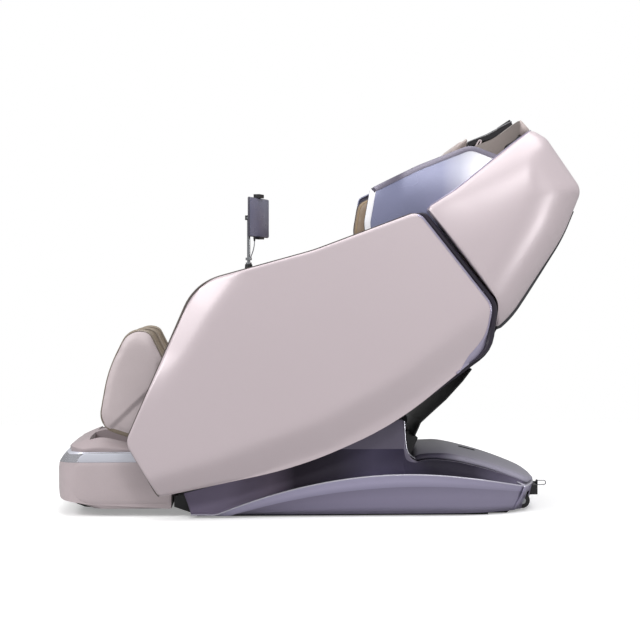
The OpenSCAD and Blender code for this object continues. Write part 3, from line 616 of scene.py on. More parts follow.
def wing_finish():
    """Metallic lacquer, deeper towards the front, whose colour is mixed towards white at the upper rear as a
    painted reflection.
    """
    f = Finish("wing_lacquer", tint("9a9db2"), 0.27, 0.25, 0.5)
    drift = f.mix(f.noise(1.6, 1), tint("8083a3"), tint("8689a9"))
    # Painted reflection: this ramp along X mixes the wing's colour towards white at its rear.
    lighter = f.ramp(f.along("X", 0.14, 0.54), greys((0.35, 0), (0.58, 0.03), (0.72, 0.3), (0.88, 0.9)))
    return f.sprayed(f.mix(lighter, drift, tint("fbfbff")), 0.27, 0.04, 1700)


def screen_finish():
    """Dark glass with faint smears."""
    f = Finish("screen_glass", tint("5f5e6c"), 0.3, coat=0.2)
    f.colour(f.mix(f.noise(14, 2), tint("62627a"), tint("6c6c80")))
    f.gloss(f.noise(50, 4), 0.24, 0.34)
    return f.material


wing_lacquer = wing_finish()
glass = screen_finish()

# ---------- Tablet lead ----------

LEAD_R = 1.5
LEAD_ROUTE = [
    [31, -34, -70], [31, -34, -76], [30, -33, -83], [28, -31, -90], [25, -27, -97], [21, -22, -103],
    [17, -16, -108], [13, -10, -112], [10, -5, -115], [8, -2, -117], [7, 0, -119], [7, 0, -120]
]


def smooth_route(route, between):
    """Route with points added on one smooth curve through the given ones."""
    pts = [Vector(p) for p in route]
    out = []
    for i in range(len(pts) - 1):
        a, b, c, d = pts[max(0, i - 1)], pts[i], pts[i + 1], pts[min(len(pts) - 1, i + 2)]
        for k in range(between):
            t = k / between
            out.append(((b * 2) + (c - a) * t + (a * 2 - b * 5 + c * 4 - d) * t**2
                        + (b * 3 - a - c * 3 + d) * t**3) / 2)
    return out + [pts[-1]]


lead_points = [TABLET @ (Vector(p) * MM) for p in smooth_route(LEAD_ROUTE, 2)]
lead_curve = bpy.data.curves.new("screen_lead", "CURVE")
lead_curve.dimensions = "3D"
lead_curve.bevel_depth = LEAD_R * MM
lead_curve.bevel_resolution = 4
spline = lead_curve.splines.new("POLY")
spline.points.add(len(lead_points) - 1)
for point, p in zip(spline.points, lead_points):
    point.co = (*p, 1)
lead_curve.materials.append(sheath)
lead = bpy.data.objects.new("screen_lead", lead_curve)
scene.collection.objects.link(lead)
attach(lead, "tablet")
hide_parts("tablet_lead")

plug_bm = rod([(*LEAD_ROUTE[0][:2], z) for z in (-71.5, -71, -69, -67, -65, -63, -61.5, -60, -59.3)],
              lambda t: 2.2 + 1.3 * min(1, t * 1.2), 16)
plug = piece("lead_plug", placed(plug_bm, TABLET), black, "tablet", "cord_sheath")

# ---------- Arm shells ----------

# Spacing of the grid inside the moulded panels, and the arm's outermost, least and edge distance from
# the middle plane.
GRID = 13
ARM_FACE = 389.5
ARM_LEAST = 352
ARM_EDGE = 350
ARM_MIDDLE = Vector((-20, 500))
CREASE = 9
arm_outline = rounded([
    [-484, 74, 15], [-581, 239, 45], [-374, 714, 160], [-20, 812, 600], [294, 930, 40], [519, 648, 60],
    [500, 512, 110], [225, 288, 1000], [-60, 162, 1300]
])
LOW_RIDGE = [Vector(p) for p in (
    [506, 634], [419, 575], [327, 506], [252, 449], [177, 402], [-2, 304], [-145, 251], [-302, 192],
    [-409, 160])]
FRONT_CREASE = [Vector(p) for p in ([-467, 395], [-420, 470], [-377, 538], [-324, 623], [-239, 739])]


def arm_depth(p, d):
    """The arm's face falls off below its ridge and ahead of its front crease, bellies a little in
    between, and is rolled at its border."""
    low = 0.4 * (soft(-beyond(LOW_RIDGE, p), CREASE) - soft(-400, CREASE))
    front = 0.46 * soft(-beyond(FRONT_CREASE, p), CREASE) * step(330, 520, p.y)
    belly = 10 * ((p - ARM_MIDDLE).length / 620) ** 3
    return max(ARM_LEAST, ARM_FACE - low - front - belly - rolled(d, 7.5, 7.5))


arm_shell = moulded_panel(arm_outline, GRID, [0.8, 1.4, 2.2, 3.2, 4.0], arm_depth, ARM_EDGE)
pair("arm_shell", arm_shell, pink, "seat", "shell_moulding", (("arm_panel_left",), ("arm_panel_right",)),
     wall=3)

front_run = corner_run(arm_outline, 0, 4)
arm_trim = ribbon(even_run(front_run, 14), [(-3, 353), (2.5, 356), (3.2, 353), (2.2, 348)])
pair("arm_edge_trim", arm_trim, olive_trim, "seat", "silver_trim", wall=1.2)
rear_run = even_run(corner_run(arm_outline, 4, 7), 10)


def lip_profile(i, p, n):
    """Band on the arm's face that turns over its border, wider low down."""
    w = 1 + (6 + 16 * step(590, 500, p.y)) * step(440, 490, p.y)
    rails = ((-w, -2.5), (-w + 0.6, 1.4), (-w * 0.5, 2.0), (-3, 2.2), (-0.5, 1.0), (0.8, -3), (1.0, -20))
    return [(off, arm_depth(p + n * min(0, off), max(0, -off)) + lift) for off, lift in rails]


def seal_profile(i, p, n):
    """Soft lip that fills the groove behind the arm, narrow at its two ends."""
    w = 17.5 * min(1, 0.3 + i / 3) * step(462, 540, p.y)
    return (-2, 350), (-1, 362), (0.25 * w, 367), (0.7 * w, 367), (0.93 * w, 363), (w, 354), (w, 330)


arm_lip = strip([p for p in rear_run if p.y > 440], lip_profile)
pair("arm_rear_lip", arm_lip, rim_lilac, "seat", "wing_moulding", wall=2)
seal = strip([p for p in rear_run if p.y > 466], seal_profile)
pair("groove_seal", seal, dark_plum, "seat", "dark_cover", wall=2)

# ---------- Back shells and wings ----------

shell_outline = rounded([
    [527, 560, 14], [543, 652, 70], [322, 940, 12], [410, 996, 200], [590, 1140, 150], [655, 1186, 20],
    [700, 1160, 60], [812, 1002, 50], [752, 858, 500], [590, 614, 300]
])
shell_front = corner_run(shell_outline, 0, 2)
shell_top = corner_run(shell_outline, 2, 5)
shell_rear = corner_run(shell_outline, 5, 10)


def shell_depth(p, d=0):
    """The shell turns in widely at its rear and top and closely at its front."""
    top_drop = 24 + 54 * step(330, 655, p.x)
    parts = (rolled(away(shell_rear, p), 175, 132), rolled(away(shell_top, p), 170, top_drop),
             rolled(away(shell_front, p), 7.4, 8))
    drop = sum(part**3 for part in parts) ** (1 / 3)
    belly = 0.00022 * (p.x - 545) ** 2 + 0.00006 * (p.y - 900) ** 2
    return max(250, 389 - belly - min(137, drop))


def seam_profile(i, p, n):
    """Joint between the shell and the rear cover, wider towards its foot."""
    w = 3 + 6 * step(940, 640, p.y)
    return (-2, 243), (2.6, 241), (3, 240), (3.4, 243), (0.5 * w + 3, 241), (w + 3, 236), (w + 3.5, 215)


back_skin = moulded_panel(shell_outline, GRID, [0.8, 1.4, 2.2, 3.0, 3.6], shell_depth, 244)
pair("back_skin", back_skin, pink, "back", "shell_moulding", (("back_shell_left",), ("back_shell_right",)),
     wall=3)
top_trim = ribbon(even_run(shell_top, 14), [(-1, 0), (3, -1), (3.5, -8)], shell_depth)
pair("back_top_trim", top_trim, rim_lilac, "back", "silver_trim", wall=1.2)
seam = strip([p for p in even_run(shell_rear, 14) if p.y < 940], seam_profile)
pair("back_seam", seam, rear_grey, "back", "dark_cover", wall=1.5)

wing_outline = rounded([
    [150, 800, 12], [140, 900, 90], [158, 1003, 18], [300, 1072, 300], [462, 1136, 60], [562, 1098, 30],
    [600, 1010, 40], [440, 790, 40]
])
wing_front = corner_run(wing_outline, 0, 2)
wing_top = corner_run(wing_outline, 2, 5)


def wing_depth(p, d):
    """The wing flares out behind its front edge and leans in towards its top."""
    flare = 276 + 26 * step(140, 260, p.x) - 14 * step(960, 1150, p.y)
    return flare - rolled(away(wing_front, p), 50, 10) - rolled(d, 3.6, 3.6)


def wing_face(p):
    """Where the trim lies, clear of the wing's own rolled border."""
    return wing_depth(p, 20) + 1.6


wing = moulded_panel(wing_outline, GRID, [0.6, 1.2, 1.8, 2.4], wing_depth, 262)
pair("wing_skin", wing, wing_lacquer, "back", "wing_moulding", (("wing_panel_left",), ("wing_panel_right",)),
     wall=3)
wing_trim = ribbon(even_run(wing_front, 9), [(1.5, -9), (1, -1), (-8, 0), (-16, -0.3), (-17, -3)],
                   wing_face, 1)
pair("wing_front_trim", wing_trim, trim_white, "back", "silver_trim", wall=1.2)
# Border along the wing's top: its dark finish is a painted reflection of the rolled top edge.
wing_border = ribbon(even_run(wing_top, 12), [(1.5, -8), (1, -1), (-7, 0), (-14, -0.2), (-15, -3)],
                     wing_face, 1)
pair("wing_top_border", wing_border, border_dark_reflection, "back", "wing_moulding", wall=1.2)

# ---------- Rear cover ----------

cover_corners = [[664, 1176, 4], [694, 1166, 20], [802, 1000, 60], [744, 856, 500], [588, 640, 300],
                 [490, 466, 4]]
cover_path = even_run(corner_run(rounded(cover_corners), 0, 5), 16)
COVER_HALF = 246
COVER_MIDDLE = Vector((560, 880))
UPRIGHT_GROOVES = (88, 176)
CROSS_GROOVES = (760, 1010)


def cover_section(y):
    """Bulging section of the cover, pressed in where its grooves run."""
    upright = sum(2.2 * math.exp(-((abs(y) - at) / 2.4) ** 2) for at in UPRIGHT_GROOVES)
    bulge = 1 - (y / COVER_HALF) ** 2
    out = []
    for p in cover_path:
        off = (p - COVER_MIDDLE).normalized()
        cross = sum(1.2 * math.exp(-((p.y - at) / 3) ** 2) for at in CROSS_GROOVES)
        q = p + off * ((12 + 22 * (1190 - p.y) / 724) * bulge - upright - cross)
        out.append((q.x, y, q.y))
    return out


cover_stations = set(range(-COVER_HALF, COVER_HALF + 1, 12))
for at in UPRIGHT_GROOVES:
    cover_stations |= {way * (at + k) for way in (-1, 1) for k in (-5, -2.5, 0, 2.5, 5)}
cover = loft([cover_section(y) for y in sorted(cover_stations)])
outward(cover, (500, 0, 850))
piece("back_cover_skin", cover, rear_grey, "back", "dark_cover", ("rear_cover",), wall=4)

# ---------- Base ----------

# Heights of the deck, the hood and the neck along X, and how much neck there is at its rear.
DECK = [[-414, 71], [-200, 122], [0, 146], [290, 162], [340, 170], [420, 164], [500, 146], [540, 134],
        [655, 92]]
HUMP = [[312, 196], [360, 200], [407, 201], [491, 183], [574, 158], [658, 125], [680, 111], [692, 98]]
NECK = [[-262, 118], [-170, 150], [-128, 226], [-100, 318], [-90, 325], [196, 325], [208, 300], [240, 296],
        [264, 293]]
NECK_REAR = [[256, 1], [260, 0.99], [262, 0.9], [264, 0.6], [268, 0.33], [275, 0.18], [288, 0.07], [306, 0]]
BASE_FRONT = -414
BASE_REAR = 638
NECK_FRONT = -262


def deck_height(x):
    return through(DECK, x)


def rim_height(x):
    """The bright rim is an arch."""
    return max(12, 133 - 0.000355 * (x - 270) ** 2)


def crease_height(x):
    """The crease of the side wall is a lower arch under the rim."""
    return max(8.5, min(rim_height(x) - 6, 95 - 0.000255 * (x - 310) ** 2))


def base_half(x):
    """Half the base's width, drawn in a little to the front and more to the rear."""
    return 310 - 16 * step(-200, BASE_FRONT, x) - 3 * step(0, -200, x) - 88 * (max(0, x - 420) / 228) ** 2


def neck_share(x):
    return step(NECK_FRONT, -120, x) * min(1, through(NECK_REAR, x))


# The rear wall is an arc about TAIL_X, to TAIL_END degrees on either side.
TAIL_X = 232
TAIL_R = 470
TAIL_LEAN = 19
TAIL_END = 29.6


def tail_radius(z, a):
    """Radius of the rear wall at a height and an angle: it leans in, and more towards its two ends."""
    if z > 84:
        return TAIL_R - 0.5 - 1.35 * (z - 85) * max(0, z - 84) ** 0.12
    lean = TAIL_LEAN + 18 * step(20, TAIL_END, abs(a))
    return TAIL_R - lean * (max(0, 80 - z) / 72) ** 1.15


def meet_tail(x, y, z):
    """Draws the rear end of a side wall back to where the rear wall begins."""
    bend = 560
    if x < bend:
        return x, y, z
    end = TAIL_X + tail_radius(min(z, 83), TAIL_END) * math.cos(math.radians(TAIL_END)) + 1
    there = bend + (x - bend) * (end - bend) / (BASE_REAR - bend)
    return there, y + base_half(there) - base_half(x), z


def base_section(x):
    """Section of the left side: wall, band, bright rim, hollow scoop and neck, from the floor up."""
    w, rim, crease, deck = base_half(x), rim_height(x), crease_height(x), deck_height(x)
    share = neck_share(x)
    inner = 250 - 34 * step(540, 590, x) + 14 * step(NECK_FRONT, -120, x) * step(330, 290, x)
    scoop_top = max(deck + share * (206 - deck), rim + 1)
    points = [(w - 36, 8), (w - 28, 8 + 0.28 * (crease - 8)), (w - 18, 8 + 0.62 * (crease - 8)),
              (w - 10, crease - 1.2), (w - 7.5, crease + 1), (w - 4.5, crease + 0.45 * (rim - crease)),
              (w - 1, rim - 3.4), (w, rim - 1.6), (w - 1.2, rim), (w - 4, rim + 0.4), (w - 9, rim - 0.6)]
    for k in range(1, 9):
        t = math.radians(90 * k / 8)
        points.append((w - 9 - (w - 9 - inner) * math.sin(t),
                       rim - 0.6 + (scoop_top - rim + 0.6) * (1 - math.cos(t))))
    top = scoop_top + (max(through(NECK, x), scoop_top) - scoop_top) * share
    for k in range(1, 6):
        points.append((inner - 0.4 * k, scoop_top + (top - scoop_top) * k / 6))
    points.append((inner - 4, top - 0.5 * share))
    points.append((inner - 10, top + 1))
    points.append((inner - 46, top + 1 - 4 * (1 - share)))
    toe = 71
    lean = 28 * max(0, (-330 - x) / 84)
    out = []
    for y, z in points:
        there, y, z = meet_tail(x, y, z)
        out.append((there + lean * max(0, 1 - z / toe), -y, z))
    return out


base_stations = list(range(BASE_FRONT, -270, 12)) + list(range(-270, -90, 6)) + list(range(-90, 240, 15))
base_stations += [240, 248, 255, 259, 261, 262, 263, 264, 266, 268, 271, 275, 281, 288, 297, 306]
base_stations += list(range(313, BASE_REAR, 13)) + [BASE_REAR]
base_shell = loft([base_section(x) for x in base_stations])
outward(base_shell, (100, -180, 60))
# Point of the section from which the band, the rim with its painted highlight, the scoop with its painted
# shade and the neck have their own finish.
FINISH_FROM = (4, 7, 11, 19)
place = base_shell.verts.layers.int["place"]
for f in base_shell.faces:
    f.material_index = sum(max(v[place] for v in f.verts) >= start for start in FINISH_FROM)
base_wall = base_paint("base_wall_lacquer", [(0, "8d859f"), (0.5, "9790ac"), (1, "9892ac")])
base_band = base_paint("base_band_lacquer", [(0, "b0aac6"), (0.5, "b1abc9"), (1, "a7a1bc")])
# The rim's near-white tone is a painted highlight along the rolled lip of the rim.
rim_highlight_paint = base_paint("rim_highlight_lacquer", [(0, "d9d6e6"), (0.5, "e6e4f0"), (1, "c8c5d6")], 0.22, 0.3, 0.5)
# The scoop is a darker purple paint with painted shade on it: its stops are darkest under the arm's lower
# edge and the hood's front, where their shadows fall.
scoop_paint_and_shade = base_paint("scoop_shaded_lacquer", [
    (0, "867c95"), (0.12, "8b8199"), (0.24, "74697c"), (0.31, "322b37"), (0.42, "332e3b"), (0.524, "4a445c"),
    (0.6, "352f45"), (0.69, "1e1a27"), (0.8, "211c2b"), (0.87, "4c4759"), (1, "6a6478")
], 0.5, 0.0, 0.0, 0.12, 0.25)
# Painted shade: the hood's flanks are near black at the front, where the hood's lower edge casts shade, and
# they lighten towards the rear.
shaded_hood_flank = base_paint("hood_shade_lacquer", [
    (0.66, "2a2436"), (0.71, "383247"), (0.77, "8f8b9a"), (1, "9592a2")], 0.45, 0.0, 0.0, 0.2)
neck_lilac = base_paint("neck_lacquer", [(0, "554f62"), (0.5, "5c5569"), (1, "625b6f")])
pair("base_cover", base_shell, [base_wall, base_band, rim_highlight_paint, scoop_paint_and_shade, neck_lilac], "base",
     "base_moulding", (("base_skirt_left", "neck_covers"), ("base_skirt_right",)), wall=3, smooth=50)

HOOD_STEPS = 32


def hood_section(x):
    """Arch of the hood at x, rising from the deck within a quarter round at its front."""
    half = min(214, math.sqrt((TAIL_R - 2) ** 2 - (x - TAIL_X) ** 2))
    low = deck_height(x) + 0.5
    rise = (through(HUMP, x) - low) * math.sqrt(max(0, 1 - (max(0, 318 - x) / 20) ** 2))
    turns = [math.pi * k / HOOD_STEPS for k in range(HOOD_STEPS + 1)]
    return [(x, half * math.cos(a), low + rise * math.sin(a) ** 0.7) for a in turns]


hood_stations = [298, 298.6, 300, 303, 307, 312, 318] + list(range(330, 660, 12))
hood_stations += [662, 670, 676, 682, 687, 691]
hood = loft([hood_section(x) for x in hood_stations])
outward(hood, (500, 0, 60))
# The lowest steps of the arch, on either side, are its flanks and have the fifth finish, which carries
# painted shade.
place = hood.verts.layers.int["place"]
for f in hood.faces:
    if abs(sum(v[place] for v in f.verts) / 4 - HOOD_STEPS / 2) > 12:
        f.material_index = 4
# A thin rod along the neck's rear edge in the rim's near-white finish: a painted highlight on the fillet.
neck_highlight_edge = rod([(262.6, -263.5, 291), (264, -263.5, 262), (266, -263.4, 236), (268, -263.2, 219),
                 (271, -262.6, 205), (275, -261, 195), (281, -258.5, 187), (288, -256, 181),
                 (297, -254, 175)], lambda t: 1.8 - 1.2 * t, 8)
pair("neck_highlight_edge", neck_highlight_edge, rim_highlight_paint, "base", "base_moulding")


def neck_fill_section(y):
    """Tall at the sides and low between them, clear of the recline rod."""
    if abs(y) < 30:
        corners = [[264, 180, 3], [287, 180, 3], [291, 190, 3], [296, 201, 3], [264, 207, 3]]
    else:
        corners = [[264, 180, 3], [287, 180, 3], [292, 192, 3], [312, 236, 3], [264, 244, 3]]
    return [(p.x, y, p.y) for p in rounded(corners, 4)]


neck_fill = loft([neck_fill_section(y) for y in (-206, -204, -31, -29, 29, 31, 204, 206)],
                 closed=True, ends=True)
piece("neck_fill", neck_fill, black, "base", "dark_cover")
slot_points = []
for x in (458, 464, 472, 480, 488, 496, 504, 510):
    slot_points.append((x, -52, deck_height(x) + (through(HUMP, x) - deck_height(x)) * 0.976 + 0.4))
piece("hood_slot", rod(slot_points, 2.6, 8), black, "base", "hood_moulding")

# The rear wall has an opening for each wheel and one for the power inlet, between these angles in
# degrees and these heights.
WHEEL_FROM, WHEEL_TO, WHEEL_TOP = 19.13, 23.84, 62
INLET_FROM, INLET_TO, INLET_LOW, INLET_TOP = -17.58, -4.39, 44, 78
tail_angles = [-TAIL_END, -27, -WHEEL_TO, -21.5, -WHEEL_FROM, INLET_FROM, -14, -10, -7, INLET_TO, 0, 5, 10,
               15, WHEEL_FROM, 21.5, WHEEL_TO, 27, TAIL_END]
tail_levels = [8, 26, INLET_LOW, WHEEL_TOP, 67, 73, INLET_TOP, 81.5, 83.5, 85, 86, 88, 92, 96, 98.5]
tail_sections = []
for a in tail_angles:
    turn = math.radians(a)
    tail_sections.append([(TAIL_X + tail_radius(z, a) * math.cos(turn), tail_radius(z, a) * math.sin(turn), z)
                          for z in tail_levels])
tail = loft(tail_sections)
cut = []
for f in tail.faces:
    c = f.calc_center_median() / MM
    a = math.degrees(math.atan2(c.y, c.x - TAIL_X))
    wheel_way = WHEEL_FROM < abs(a) < WHEEL_TO and c.z < WHEEL_TOP
    inlet_way = INLET_FROM < a < INLET_TO and INLET_LOW < c.z < INLET_TOP
    if wheel_way or inlet_way:
        cut.append(f)
    # By height the rear wall has the wall, band and rim finishes, the rim with its painted highlight, and the
    # hood's grey above.
    f.material_index = 1 if c.z < 67 else 2 if c.z < 81 else 3 if c.z < 86 else 0
bmesh.ops.delete(tail, geom=cut, context="FACES")
outward(tail, (TAIL_X, 0, 50))
piece("hood_skin", joined(hood, tail), [hood_grey, base_wall, base_band, rim_highlight_paint, shaded_hood_flank], "base",
      "hood_moulding", ("base_hood",), wall=3)

# ---------- Upholstery ----------

SIDES = ((-1, "left"), (1, "right"))
PRESSURE = 4.0
LAST_FRAME = 20


def applied(obj):
    """Mesh of an object with its modifiers applied. The object is used up."""
    graph = bpy.context.evaluated_depsgraph_get()
    mesh = bpy.data.meshes.new_from_object(obj.evaluated_get(graph))
    bpy.data.objects.remove(obj)
    return mesh


def loose(form):
    """Object of a mesh, or of a bmesh that is used up."""
    mesh = form
    if isinstance(form, bmesh.types.BMesh):
        mesh = bpy.data.meshes.new("form")
        form.to_mesh(mesh)
        form.free()
    obj = bpy.data.objects.new("stuffing", mesh)
    scene.collection.objects.link(obj)
    return obj


def stuffed(bm, cap, voxel, flat=None, ways=(1, 1, 1)):
    """Closed form remeshed, blown up as cloth, and kept within cap of where it was. flat(point) from 0
    to 1 says how freely a point may move, and ways how much of that lies along each axis."""
    obj = loose(bm)
    grid = obj.modifiers.new("grid", "REMESH")
    grid.mode = "VOXEL"
    grid.voxel_size = voxel * MM
    base = applied(obj)
    start = [v.co.copy() for v in base.vertices]
    obj = loose(base.copy())
    cloth = obj.modifiers.new("cloth", "CLOTH")
    cloth.settings.use_pressure = True
    cloth.settings.uniform_pressure_force = PRESSURE
    cloth.settings.effector_weights.gravity = 0
    cloth.settings.quality = 4
    cloth.collision_settings.use_collision = False
    cloth.point_cache.frame_end = LAST_FRAME
    for frame_number in range(1, LAST_FRAME + 1):
        scene.frame_set(frame_number)
    blown = applied(obj)
    scene.frame_set(1)
    for v, first, now in zip(base.vertices, start, blown.vertices):
        move = (now.co - first) * Vector(ways)
        if move.length > cap * MM:
            move *= cap * MM / move.length
        v.co = first + move * (flat(first) if flat else 1)
    bm = bmesh.new()
    bm.from_mesh(base)
    for repeat in range(2):
        bmesh.ops.smooth_vert(bm, verts=bm.verts, factor=0.5, use_axis_x=True, use_axis_y=True,
                              use_axis_z=True)
    obj = loose(bm)
    sub = obj.modifiers.new("fine", "SUBSURF")
    sub.levels = 1
    sub.render_levels = 1
    bm = bmesh.new()
    bm.from_mesh(applied(obj))
    return bm


def pad_form(size, crown):
    """Block on z = 0 with its sides pulled in between the corners and a crowned top."""
    pull = 0.1
    bm = bmesh.new()
    bmesh.ops.create_cube(bm, size=1)
    bmesh.ops.translate(bm, vec=(0, 0, 0.5), verts=bm.verts)
    bmesh.ops.subdivide_edges(bm, edges=bm.edges[:], cuts=8, use_grid_fill=True)
    for v in bm.verts:
        u, w, h = v.co.x * 2, v.co.y * 2, v.co.z
        side = 1 - 0.05 * (2 * h - 0.9) ** 2
        v.co.x = size[0] / 2 * MM * u * side * math.sqrt(1 - pull * w * w * abs(u) ** 3)
        v.co.y = size[1] / 2 * MM * w * side * math.sqrt(1 - pull * u * u * abs(w) ** 3)
        v.co.z = MM * h * (size[2] + crown * (1 - u * u) * (1 - w * w))
    sharp = [e for e in bm.edges if len(e.link_faces) == 2 and e.calc_face_angle() > 0.9]
    bmesh.ops.bevel(bm, geom=sharp, offset=14 * MM, segments=3, profile=0.5, affect="EDGES", material=-1,
                    clamp_overlap=True)
    return bm


def sew(bm, channels, size, seam):
    """Presses sewn channels into the upper face, each [place from -1 to 1, whether that place is along
    y, width, depth], and a seam line into the side at height seam. Fine wrinkles lie over it all."""
    for v in bm.verts:
        x, y, z = v.co / MM
        up = step(0.3 * size[2], 0.75 * size[2], z)
        for place, along_y, width, depth in channels:
            off = (y - place * size[1] / 2) if along_y else (x - place * size[0] / 2)
            v.co.z -= up * depth * math.exp(-(off / width) ** 2) * MM
        out = Vector((v.co.x, v.co.y, 0))
        if out.length > 0:
            v.co -= out.normalized() * (2.2 * math.exp(-((z - seam) / 2.6) ** 2) * MM)
        v.co += v.normal * (noise.noise(v.co * 22) * 0.5 * MM)


def lie_flat(height):
    """Points low on a cushion stay where they rest."""
    return lambda co: step(0, 0.35 * height * MM, co.z)


def padded_piece(fill, *what, **more):
    """A piece that is padded. Its fill, how full it is, is not used."""
    piece(*what, **more)


def cushion(name, size, crown, seam, channels, turns, finish, body, slot, stands_for=(), cap=16, fill=0.6,
            voxel=6, shrink=0.955, extra=()):
    """Pad made lying on z = 0 and then moved. It starts smaller than its size, because it is blown up."""
    thick = size[2] * 0.9
    bm = stuffed(pad_form([size[0] * shrink, size[1] * shrink, thick], crown), cap, voxel, lie_flat(size[2]))
    sew(bm, channels, size, seam)
    bm.normal_update()
    padded_piece(fill, name, joined(placed(bm, *turns), *extra), finish, body, slot, stands_for, smooth=0)


cushion("seat_pad", [488, 490, 62], 9, 24,
        [(-0.42, False, 9, 7), (0.18, False, 9, 7), (-0.72, True, 8, 5), (0.72, True, 8, 5)],
        [shift(-45, 0, 410.3)], beige, "seat", "beige_leather", ("seat_cushion",))
STAND = turned(-90)
top_roll = across(rounded([[-10, 884, 4], [-12, 908, 8], [-2, 929, 5], [38, 911, 8], [36, 884, 3]], 6),
                  (-222, -220, -150, 0, 150, 220, 222))
cushion("back_pad", [780, 396, 66], 9, 24,
        [(-0.55, False, 9, 7), (-0.15, False, 9, 7), (0.25, False, 9, 7), (-0.62, True, 8, 4),
         (0.62, True, 8, 4)],
        [STAND, shift(-14, 0, 455), BACK_TURN], beige, "back", "beige_leather", ("back_cushion",),
        extra=[placed(top_roll, BACK_TURN)])
head_fill = across(rounded([[-104, 780, 6], [-106, 792, 6], [-62, 836, 30], [-40, 866, 30], [-4, 928, 5],
                            [13, 888, 6], [6, 864, 20], [-14, 836, 20], [-16, 780, 6]], 6),
                   (-227, -223, -120, 0, 120, 223, 227))
padded_piece(0.7, "head_fill", placed(head_fill, BACK_TURN), shade_leather, "back", "brown_leather")
flap = across([[-115, 815], [-109, 802], [-79, 833], [-49, 858], [-30, 880], [-13, 906], [-5, 923],
               [-12, 931], [-37, 900], [-68, 861]], (-110, -108, 0, 108, 110))
flap_cord = rod([(-19, y, 930) for y in (-110, -109, -60, 60, 109, 110)], 4, 14)
flap_edge = rod([(-116, -109, 816), (-69, -109, 863), (-38, -109, 902), (-12, -109, 933)], 1.6, 8)
piece("strap_edge", placed(flap_edge, BACK_TURN), sheath, "head_pillow", "beige_leather")
loop_points = [(-97, -205, 792), (-95, -205, 806), (-93, -205, 821), (-87, -205, 823), (-86, -205, 814),
               (-88, -205, 800)]
piece("pull_loop", placed(rod(smooth_route(loop_points, 4), 2.2, 8), BACK_TURN), pale, "back",
      "beige_leather")
padded_piece(0.3, "pillow_strap", placed(joined(flap, flap_cord), BACK_TURN), strap_black, "head_pillow",
             "brown_leather")
pillow_fold = across(rounded([[-124, 745, 6], [-152, 745, 8], [-160, 764, 14], [-146, 796, 14],
                              [-133, 806, 4], [-130, 816, 2], [-124, 812, 2], [-119, 786, 6]], 5),
                     (-172, -170, -90, 0, 90, 170, 172))
cushion("neck_pillow", [190, 350, 50], 6, 20, [(0.1, False, 7, 4)],
        [STAND, shift(-92, 0, 705), BACK_TURN], beige, "head_pillow", "beige_leather", ("head_pillow",),
        cap=12, fill=0.8, voxel=5, extra=[placed(pillow_fold, BACK_TURN)])
for way, side in SIDES:
    cushion("forearm_pad_" + side, [296, 50, 38], 3, 14, [],
            [shift(-35, 0, -45.5), turned(-18), shift(20, way * 306, 822)], beige, "seat", "beige_leather",
            ("arm_pads",), cap=6, voxel=4, shrink=0.94)
    cushion("calf_pad_" + side, [236, 168, 26], 5, 10, [(0.3, False, 7, 4), (-0.3, False, 7, 4)],
            [STAND, shift(-124.2, way * 116, -122), LEG_TURN], brown, "leg", "brown_leather", ("calf_pads",),
            cap=8, voxel=5)

# Rounded edge of a padded slab, as [height from -1 to 1, share of its outline there].
PAD_PROFILE = [[-0.93, 0.7], [-0.72, 0.93], [-0.35, 0.985], [0.35, 0.985], [0.72, 0.93], [0.93, 0.7]]


def on_pad(run, centre, h):
    """A run drawn in to where the rounded edge of a padded slab is at height h, from -1 to 1."""
    middle = Vector(centre)
    for (h0, s0), (h1, s1) in zip(PAD_PROFILE, PAD_PROFILE[1:]):
        if h0 <= h <= h1:
            share = s0 + (s1 - s0) * (h - h0) / (h1 - h0)
    return [middle + (p - middle) * share for p in run]


def outline_pad(outline, centre, half, middle_y, cap):
    """Padded slab of an outline, its edges rounded, 2 * half thick about middle_y."""
    rows = []
    for h, s in reversed(PAD_PROFILE):
        rows.append([(centre[0] + s * (p.x - centre[0]), middle_y + h * half,
                      centre[1] + s * (p.y - centre[1])) for p in outline])
    return stuffed(loft(rows, closed=True, ends=True), cap, 5, ways=(0, 1, 0))


def piping(name, run, y, r, finish, body, *turns):
    """Round piping on a run at one distance from the middle plane."""
    bm = rod([(p.x, y, p.y) for p in run], r, 8)
    piece(name, placed(bm, *turns), finish, body, "brown_leather")


calf_outline = rounded([[-272, 86, 62], [-295, -70, 420], [-270, -251, 62], [-125, -251, 15], [-130, 10, 60],
                        [-205, 86, 30]])
CALF_MIDDLE = (-205, -80)
CALF_PIPING = 0.62
calf_run = on_pad(even_run(corner_run(calf_outline, 4, 8), 9), CALF_MIDDLE, CALF_PIPING)
for way, side, y, half in ((-1, "left", -230, 22), (0, "middle", 0, 26), (1, "right", 230, 22)):
    wall = outline_pad(calf_outline, CALF_MIDDLE, half, y, 6)
    if way == -1:
        # A slanting fold: behind its line and low down, the outer face lies 6 mm deeper.
        for v in wall.verts:
            behind = (v.co.x / MM + 205) * 0.881 - (v.co.z / MM + 179) * 0.474
            fold = step(-5, 14, behind) * step(-50, -110, v.co.z / MM)
            v.co.y += 6 * MM * fold * step(236, 250, -v.co.y / MM)
    placed(wall, LEG_TURN)
    # The outer face of each outer wall is light, and all the rest has the layers' darker leather.
    for f in wall.faces:
        f.material_index = int(way * f.calc_center_median().y / MM < 231 + 0.5 * half)
    padded_piece(0.7, "calf_wall_" + side, wall, [calf_leather, layer_leather], "leg", "beige_leather",
                 ("calf_walls",) if way == -1 else (), smooth=0)
    for k in (-1, 1):
        piping("calf_piping_%s_%d" % (side, k + 1), calf_run, y + k * half * CALF_PIPING, 1.5, piping_olive,
               "leg", LEG_TURN)

